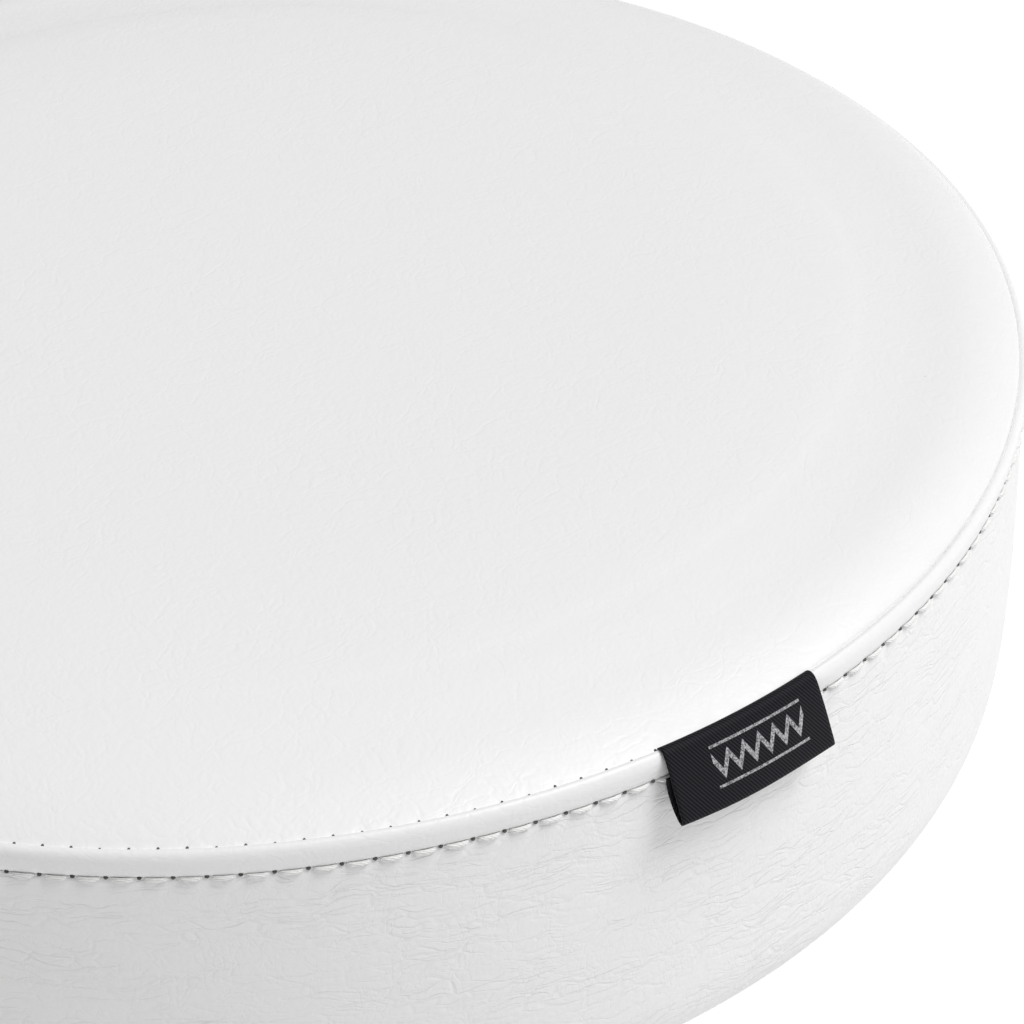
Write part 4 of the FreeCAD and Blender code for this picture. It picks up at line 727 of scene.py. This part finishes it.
def side_band():
    """The side of the cover: from behind the roll it steps out, runs down with a slight belly,
    turns in under the board and comes back up inside. The foam's swelling is added between the seam
    and the fold, and the top is drawn in at each stitch."""
    per = 4
    angle = (np.arange(LOWER_STITCHES * per) * TURN / (LOWER_STITCHES * per))[None, :]
    outside = [
        (0.0, -4.7), (0.72, -5.25), (1.14, -5.9), (1.36, -6.8), (1.42, -8.0), (1.42, -14),
        (1.5, -26), (1.45, -40), (1.1, -54), (0.7, -64), (0.2, -70), (-1.0, -75.5),
        (-3.4, -79.5), (-7.0, -81.5), (-11, FOLD), (-17, FOLD), (-26.6, FOLD),
        (-27, FOLD + 0.5), (-26.4, FOLD + 1.1), (-16, FOLD + 1.2),
    ]
    line = through(outside, 74)
    r, z = EDGE + line[:, :1], line[:, 1:]
    back = [
        (-10.3, FOLD + 1.5), (-6, -78.9), (-3.2, -75.4), (-1.5, -70), (-0.6, -60), (-0.2, -40),
        (-0.6, -8),
    ]
    back = np.array(back)
    inner_r, inner_z = EDGE + back[:, :1], back[:, 1:]
    from_inside = around(EDGE - 30, np.clip(z, FOLD + 22, -10), angle)
    push = cast(from_inside, foam_block, False) - cast(from_inside, foam_before, False)
    push = (push[..., 0] * np.cos(angle) + push[..., 1] * np.sin(angle)) / MM
    belly = np.clip((-7.5 - z) / 14, 0, 1) * np.clip((z - FOLD - 4) / 18, 0, 1) * (r > EDGE - 3)
    push = evened(push, 2, 10) * belly
    near = np.clip(1 - abs(z + 6.3) / 2.2, 0, 1) * (r > EDGE - 2)
    pinch = (0.5 + 0.5 * np.cos(LOWER_STITCHES * angle)) ** 2
    ripple = waves(angle, z, 21, 0.16) * belly
    radius = r + 0.8 * push - 0.22 * near * pinch + ripple
    outer = around(radius, z + 0 * angle, angle)
    inner = around(inner_r, inner_z, angle)
    made = grid_piece("side_band", np.concatenate([outer, inner]), along=True)
    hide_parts("seat_side_band")
    return dress(made, band_skin, "seat")


def foam_filling():
    """The swollen foam itself, under the cover."""
    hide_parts("seat_foam")
    dress(foam_block, FINISHES["foam"], "seat")


cover_top = top_panel()
cover_side = side_band()
cover_roll = seam_roll()
bpy.data.objects.remove(foam_before)
foam_filling()


# ------------------------------------------------------------------ stitching


def stitch_shape():
    """One stitch seen above the cover: a bent capsule. At t from -1 to 1 its middle is 2.35 t along
    the seam and 0.75 (1 - t^4) - 0.6 out, and its radius is 0.5 (1 - t^6)^(1/2)."""
    t = np.array([-1.0, -0.93, -0.7, -0.3, 0.3, 0.7, 0.93, 1.0])[:, None]
    turn = (np.arange(7) * TURN / 7)[None, :]
    thick = 0.5 * np.sqrt(np.maximum(0, 1 - t**6))
    out = 0.75 * (1 - t**4) - 0.6 + thick * np.cos(turn)
    up = thick * np.sin(turn)
    side = 2.35 * t + 0 * turn
    return np.stack([out, side, up], axis=-1)


def hole_shape(wide, tall, deep):
    """A needle hole: a small dark bead set into the cover, with its half sizes along the seam, up
    and into the cover."""
    f = np.linspace(0, math.pi, 5)[:, None]
    turn = (np.arange(7) * TURN / 7)[None, :]
    out = deep * np.cos(f) + 0 * turn
    side = wide * np.sin(f) * np.cos(turn)
    up = tall * np.sin(f) * np.sin(turn)
    return np.stack([out, side, up], axis=-1)


def stitching():
    """The lower row of stitches with the holes between them, and the upper row of holes."""
    lower = np.arange(LOWER_STITCHES) * TURN / LOWER_STITCHES
    half = TURN / LOWER_STITCHES / 2
    thread_radius = EDGE + 1.64
    row = repeated("lower_stitches", stitch_shape(), thread_radius, height=-5.85, angle=lower + half)
    dress(row, thread, "seat")
    bead = hole_shape(wide=0.5, tall=0.4, deep=0.36)
    holes = repeated("lower_needle_holes", bead, radius=EDGE + 1.2, height=-5.78, angle=lower)
    dress(holes, pinprick, "seat")
    upper = np.arange(UPPER_HOLES) * TURN / UPPER_HOLES
    depth = np.random.default_rng(7).uniform(-0.3, 0.12, UPPER_HOLES) - 0.6 * (1 - pulled(upper))
    depth = EDGE - 0.12 + depth[:, None]
    bead = hole_shape(wide=0.3, tall=0.3, deep=0.36)
    holes = repeated("upper_needle_holes", bead, radius=depth, height=0.12, angle=upper)
    dress(holes, pinprick, "seat")


stitching()


# ------------------------------------------------------------------ the label


RIBBON_WIDTH = 40
LABEL_SWEEP = math.radians(12.2)
LABEL_ANGLE = -math.pi / 2 - math.radians(0.4)


def label():
    """The ribbon label: a line that comes out of the seam, goes over the roll, hangs in front of
    the side band, folds back on itself and returns, carried along the seam over its sweep, with the
    thickness of a ribbon. Its foot hangs a little to the right and in a slight wave."""
    front = [
        (-0.1, 0.5), (0.5, 0.95), (1.3, 1.0), (2.1, 0.5), (2.75, -0.6), (3.6, -3.0),
        (4.9, -7.0), (6.2, -11.4), (7.0, -14.2), (7.0, -15.1), (6.3, -15.5), (4.7, -14.0),
        (3.1, -11.0), (2.4, -8.2), (2.35, -6.0),
    ]
    line = through(front, 96)
    slope = np.gradient(line, axis=0)
    slope = slope / np.linalg.norm(slope, axis=1, keepdims=True)
    side = np.stack([-slope[:, 1], slope[:, 0]], axis=1)
    across = np.concatenate([[0, 0], np.linspace(0, 1, 49), [1, 1]])
    thick = np.concatenate([[0, 0.12], np.full(49, 0.17), [0.12, 0]])
    angle = (LABEL_ANGLE + (across - 0.5) * LABEL_SWEEP)[None, :]
    hang = np.clip(-line[:, 1:] / 16, 0, 1)
    stand = hang**1.5 * 0.25 * np.sin(across[None, :] * 5)
    short = 0.93 + 0.04 * across[None, :]
    angle = angle + hang * 1.2 / EDGE
    angle = np.concatenate([angle, angle[::-1]])
    faces_r = []
    faces_z = []
    for sign in (-1, 1):
        faces_r.append(EDGE + line[:, :1] + sign * side[:, :1] * thick[None, :] + stand)
        shrunk = line[:, 1:] * np.where(line[:, 1:] < 0, short, 1)
        faces_z.append(shrunk + sign * side[:, 1:] * thick[None, :])
    radius = np.concatenate([faces_r[0], faces_r[1][::-1]])
    height = np.concatenate([faces_z[0], faces_z[1][::-1]])
    points = around(radius, height, angle)
    rows, columns = points.shape[:2]
    faces = cells(rows, columns, True, False)
    made = piece("woven_ribbon_label", points, faces)
    run = np.concatenate([[0], np.cumsum(np.linalg.norm(np.diff(line, axis=0), axis=1))])
    down = np.concatenate([run, run[::-1]])
    u = np.broadcast_to((across * RIBBON_WIDTH)[None, :], (rows, columns)).ravel()
    v = np.broadcast_to(down[:, None], (rows, columns)).ravel()
    chart = made.data.uv_layers.new(name="ribbon")
    corner = np.empty(len(made.data.loops), int)
    made.data.loops.foreach_get("vertex_index", corner)
    chart.data.foreach_set("uv", np.stack([u[corner], v[corner]], axis=1).ravel())
    merge(made)
    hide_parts("woven_label")
    dress(made, ribbon, "seat")


label()


# ------------------------------------------------------------------ under the seat


CLOTH_HOLE = 50.4
WELD_RIPPLES = 56


def dust_cover():
    """The black cloth under the seat: a flat ring that steps down over the turned-in cover and is
    stapled there. Between staples its margin sags by 0.3 (1 - cos) / 2 millimetres."""
    angle = (np.arange(STAPLES * 12) * TURN / (STAPLES * 12))[None, :]
    low_box, high_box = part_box("dust_cloth")
    low = (low_box.z - SEAM) / MM
    high = (high_box.z - SEAM) / MM
    outer = high_box.x / MM
    under = [
        (CLOTH_HOLE, high - 0.15), (53, high - 0.72), (80, high - 0.76), (112, high - 0.76),
        (138, high - 0.8), (146.5, high - 1.0), (150.4, low + 0.35), (153.5, low + 0.02),
        (160, low), (outer - 1, low), (outer, low + 0.35), (outer - 0.9, low + 0.68),
        (156, low + 0.72), (151.3, low + 0.95), (147, high - 0.35), (138, high - 0.12),
        (110, high - 0.08), (80, high - 0.08), (52, high - 0.06),
    ]
    line = through(under + [under[0]], 120)[:-1]
    r, z = line[::-1, :1], line[::-1, 1:]
    sag = np.clip((r - 150) / 9, 0, 1) * (z < low + 0.5)
    z = z - 0.3 * sag * (0.5 - 0.5 * np.cos(STAPLES * angle))
    z = z + waves(angle, r, 31, 0.05) * (r > 112) * (r < 146)
    points = around(r + 0 * angle, z, angle)
    made = grid_piece("dust_cover", points[::-1], along=True)
    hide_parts("dust_cloth")
    dress(made, FINISHES["black_cloth"], "seat")


def weld_bead():
    """The weld between the tapered socket and the dished plate: a ring of overlapping ripples. Its
    section is a bead of 1.25 mm that grows by 0.4 mm over each ripple."""
    angle = (np.arange(WELD_RIPPLES * 8) * TURN / (WELD_RIPPLES * 8))[None, :]
    turn = (np.arange(12) * TURN / 12)[:, None]
    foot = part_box("taper_socket")[1]
    ripple = (WELD_RIPPLES * angle / TURN) % 1
    size = 1.25 + 0.4 * ripple + waves(angle, 0, 41, 0.12)
    r = foot.x / MM + 0.35 + size * np.cos(turn)
    z = (foot.z - SEAM) / MM - 1.15 - 0.9 * size * np.sin(turn)
    made = grid_piece("socket_weld", around(r, z, angle), along=True)
    dress(made, FINISHES["black_steel"], "seat")


dust_cover()
weld_bead()


# ------------------------------------------------------------------ floor and light


def studio():
    """A pale floor that glows a little, a white room, and a large soft light high on the right."""
    reach = 9.0
    low = -0.0005
    corners = [
        (-reach, -reach, low), (reach, -reach, low), (reach, reach, low), (-reach, reach, low),
    ]
    corners = np.array(corners)
    floor = piece("floor", corners, np.array([[0, 1, 2, 3]]), smooth=False)
    material, tree, shader = finish("pale_floor", (0.93, 0.93, 0.93), 0.7, Specular_IOR_Level=0.2)
    cloud = noise(tree, place(tree), 1.5, 2.0).outputs[0]
    paint(tree, shader, blend(tree, cloud, (0.92, 0.92, 0.92), (0.94, 0.94, 0.94)))
    shader.inputs["Emission Color"].default_value = (1, 1, 1, 1)
    shader.inputs["Emission Strength"].default_value = 0.18
    floor.data.materials.append(material)
    world = bpy.data.worlds.new("white_room")
    bpy.context.scene.world = world
    world.use_nodes = True
    back = world.node_tree.nodes["Background"]
    back.inputs[0].default_value = (1, 1, 1, 1)
    back.inputs[1].default_value = 0.3
    lamp("side_light", turn=-50, up=60, away=8.0, size=4.2, power=545)
    bpy.context.scene.view_settings.view_transform = "Standard"


def lamp(name, turn, up, away, size, power):
    """A square soft light that looks at the seat: its turn and height in degrees, its distance and
    size in metres, and its power in watts."""
    data = bpy.data.lights.new(name, "AREA")
    data.size = size
    data.energy = power
    a, b = math.radians(turn), math.radians(up)
    aim = Vector((0, 0, SEAM))
    spot = aim + away * Vector((math.cos(a) * math.cos(b), math.sin(a) * math.cos(b), math.sin(b)))
    light = bpy.data.objects.new(name, data)
    facing = (aim - spot).to_track_quat("-Z", "Y").to_matrix().to_4x4()
    light.matrix_world = Matrix.Translation(spot) @ facing
    bpy.context.scene.collection.objects.link(light)


studio()
